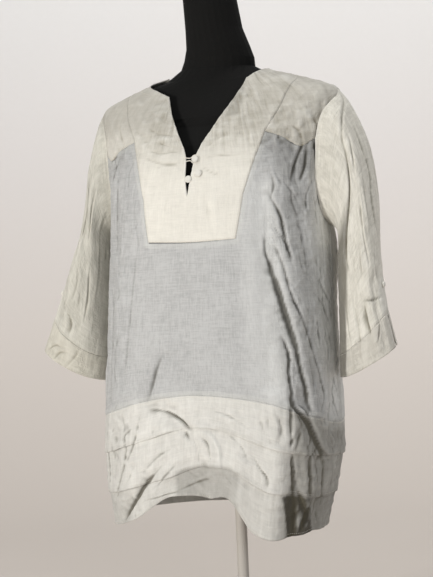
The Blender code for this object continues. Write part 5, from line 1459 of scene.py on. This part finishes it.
def thread(name):
    """Cream sewing thread."""
    n = Nodes(name)
    fine = n.noise(n.place(), 2500.0, 1.0)
    n.link(n.mix(fine, (0.62, 0.58, 0.50), (0.80, 0.77, 0.70)), "Base Color")
    n.link(n.spread(fine, 0.3, 0.7, 0.6, 0.75), "Roughness")
    return n.material


def backdrop_paint(name):
    """Warm pale paper, with painted shade deepening towards the floor."""
    n = Nodes(name)
    place = n.add("ShaderNodeNewGeometry").outputs["Position"]
    height = n.add("ShaderNodeSeparateXYZ", {0: place}).outputs["Z"]
    colour = n.add("ShaderNodeValToRGB", {0: n.spread(height, 0, BACKDROP_HEIGHT)})
    ramp = colour.color_ramp.elements
    while len(ramp) < len(BACKDROP_TONES):
        ramp.new(0.5)
    for stop, (position, painted_light_shade) in zip(ramp, BACKDROP_TONES):
        stop.position, stop.color = position, (*painted_light_shade, 1)
    grain = n.noise(place, 60.0, 3.0)
    n.link(n.mix(n.spread(grain, 0.3, 0.7, 0, 0.03), colour.outputs[0], (0.6, 0.56, 0.5)), "Base Color")
    n.plug("Roughness", 0.95)
    n.plug("Specular IOR Level", 0.1)
    # clear from behind, so that the object can be seen from every side
    behind = n.add("ShaderNodeNewGeometry").outputs["Backfacing"]
    clear = n.add("ShaderNodeBsdfTransparent").outputs[0]
    either = n.add("ShaderNodeMixShader", {0: behind, 1: n.shader.outputs[0], 2: clear}).outputs[0]
    n.tree.links.new(either, n.tree.nodes["Material Output"].inputs["Surface"])
    return n.material


def make_stage():
    """A pale sweep: the floor curving up into a wall behind."""
    profile = [(FLOOR_START, 0.0), (FLOOR_END, 0.0)]
    for k in range(1, CURVE_STEPS + 1):
        a = math.pi / 2 * k / CURVE_STEPS
        profile.append((FLOOR_END + CURVE_RADIUS * math.sin(a), CURVE_RADIUS * (1 - math.cos(a))))
    profile.append((FLOOR_END + CURVE_RADIUS, WALL_TOP))
    turn = math.radians(STUDIO_TURN)
    c, s = math.cos(turn), math.sin(turn)
    points = [
        (aside * c - deep * s, aside * s + deep * c, z - FLOOR_DROP)
        for deep, z in profile for aside in (-HALF_WIDTH, HALF_WIDTH)
    ]
    faces = [(2 * i, 2 * i + 1, 2 * i + 3, 2 * i + 2) for i in range(len(profile) - 1)]
    add_mesh("studio_sweep", points, faces, backdrop_paint("backdrop_paper"))


def area_light(name, place, target, size, power, colour):
    """A rectangular light at a place, facing a target."""
    data = bpy.data.lights.new(name, "AREA")
    data.shape = "RECTANGLE"
    data.size, data.size_y = size
    data.energy = power
    data.color = colour
    lamp = bpy.data.objects.new(name, data)
    lamp.location = place
    lamp.rotation_euler = (Vector(target) - Vector(place)).to_track_quat("-Z", "Y").to_euler()
    bpy.context.scene.collection.objects.link(lamp)


def make_camera():
    """The camera at the photo's place, azimuth, framing and slight roll."""
    turn, roll = math.radians(STUDIO_TURN), math.radians(CAMERA_ROLL)
    right = Vector((math.cos(turn), math.sin(turn), 0))
    back = Vector((math.sin(turn), -math.cos(turn), 0))
    place = back * CAMERA_DISTANCE + right * CAMERA_ASIDE
    place += Vector((*PLACE[:2], CAMERA_HEIGHT))
    pitch = math.atan((IMAGE_HEIGHT / 2 - HORIZON_ROW) / FOCAL_PIXELS)
    ahead = -back * math.cos(pitch) + Vector((0, 0, -1)) * math.sin(pitch)
    up = right.cross(ahead)
    right, up = right * math.cos(roll) - up * math.sin(roll), up * math.cos(roll) + right * math.sin(roll)
    data = bpy.data.cameras.new("camera")
    data.sensor_width = SENSOR
    data.lens = FOCAL_PIXELS * SENSOR / IMAGE_HEIGHT
    camera = bpy.data.objects.new("camera", data)
    turned_by = Matrix((right, up, -ahead)).transposed().to_4x4()
    camera.matrix_world = Matrix.Translation(place) @ turned_by
    bpy.context.scene.collection.objects.link(camera)
    bpy.context.scene.camera = camera


def make_lights():
    """The lights and an even world."""
    for row in LIGHTS:
        area_light(*row)
    world = bpy.data.worlds.new("studio")
    world.use_nodes = True
    world.node_tree.nodes["Background"].inputs["Color"].default_value = (0.93, 0.95, 0.98, 1)
    world.node_tree.nodes["Background"].inputs["Strength"].default_value = WORLD_STRENGTH
    bpy.context.scene.world = world
    bpy.context.scene.view_settings.view_transform = "Standard"


def main():
    """Dresses the part, then builds the stage, its lights and the camera."""
    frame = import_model()
    finishes = {key: linen(*row) for key, row in LINENS.items()}
    seams = make_body(finishes)
    grids = make_sleeves(seams, finishes)
    make_facings(grids, finishes["cuff left"])
    make_stitching(grids, thread("sewing_thread"))
    make_buttons(grids, finishes["button"])
    make_loop(thread("loop_cord"))
    black, pale = jersey("black_jersey"), powder_coat("stand_coat")
    for node, finish in (("form", black), ("stand_base", pale), ("stand_pole", pale), ("stand_socket", pale)):
        for own in frame["nodes"][node].material_slots:
            own.material = finish
    make_stage()
    make_lights()
    make_camera()


main()
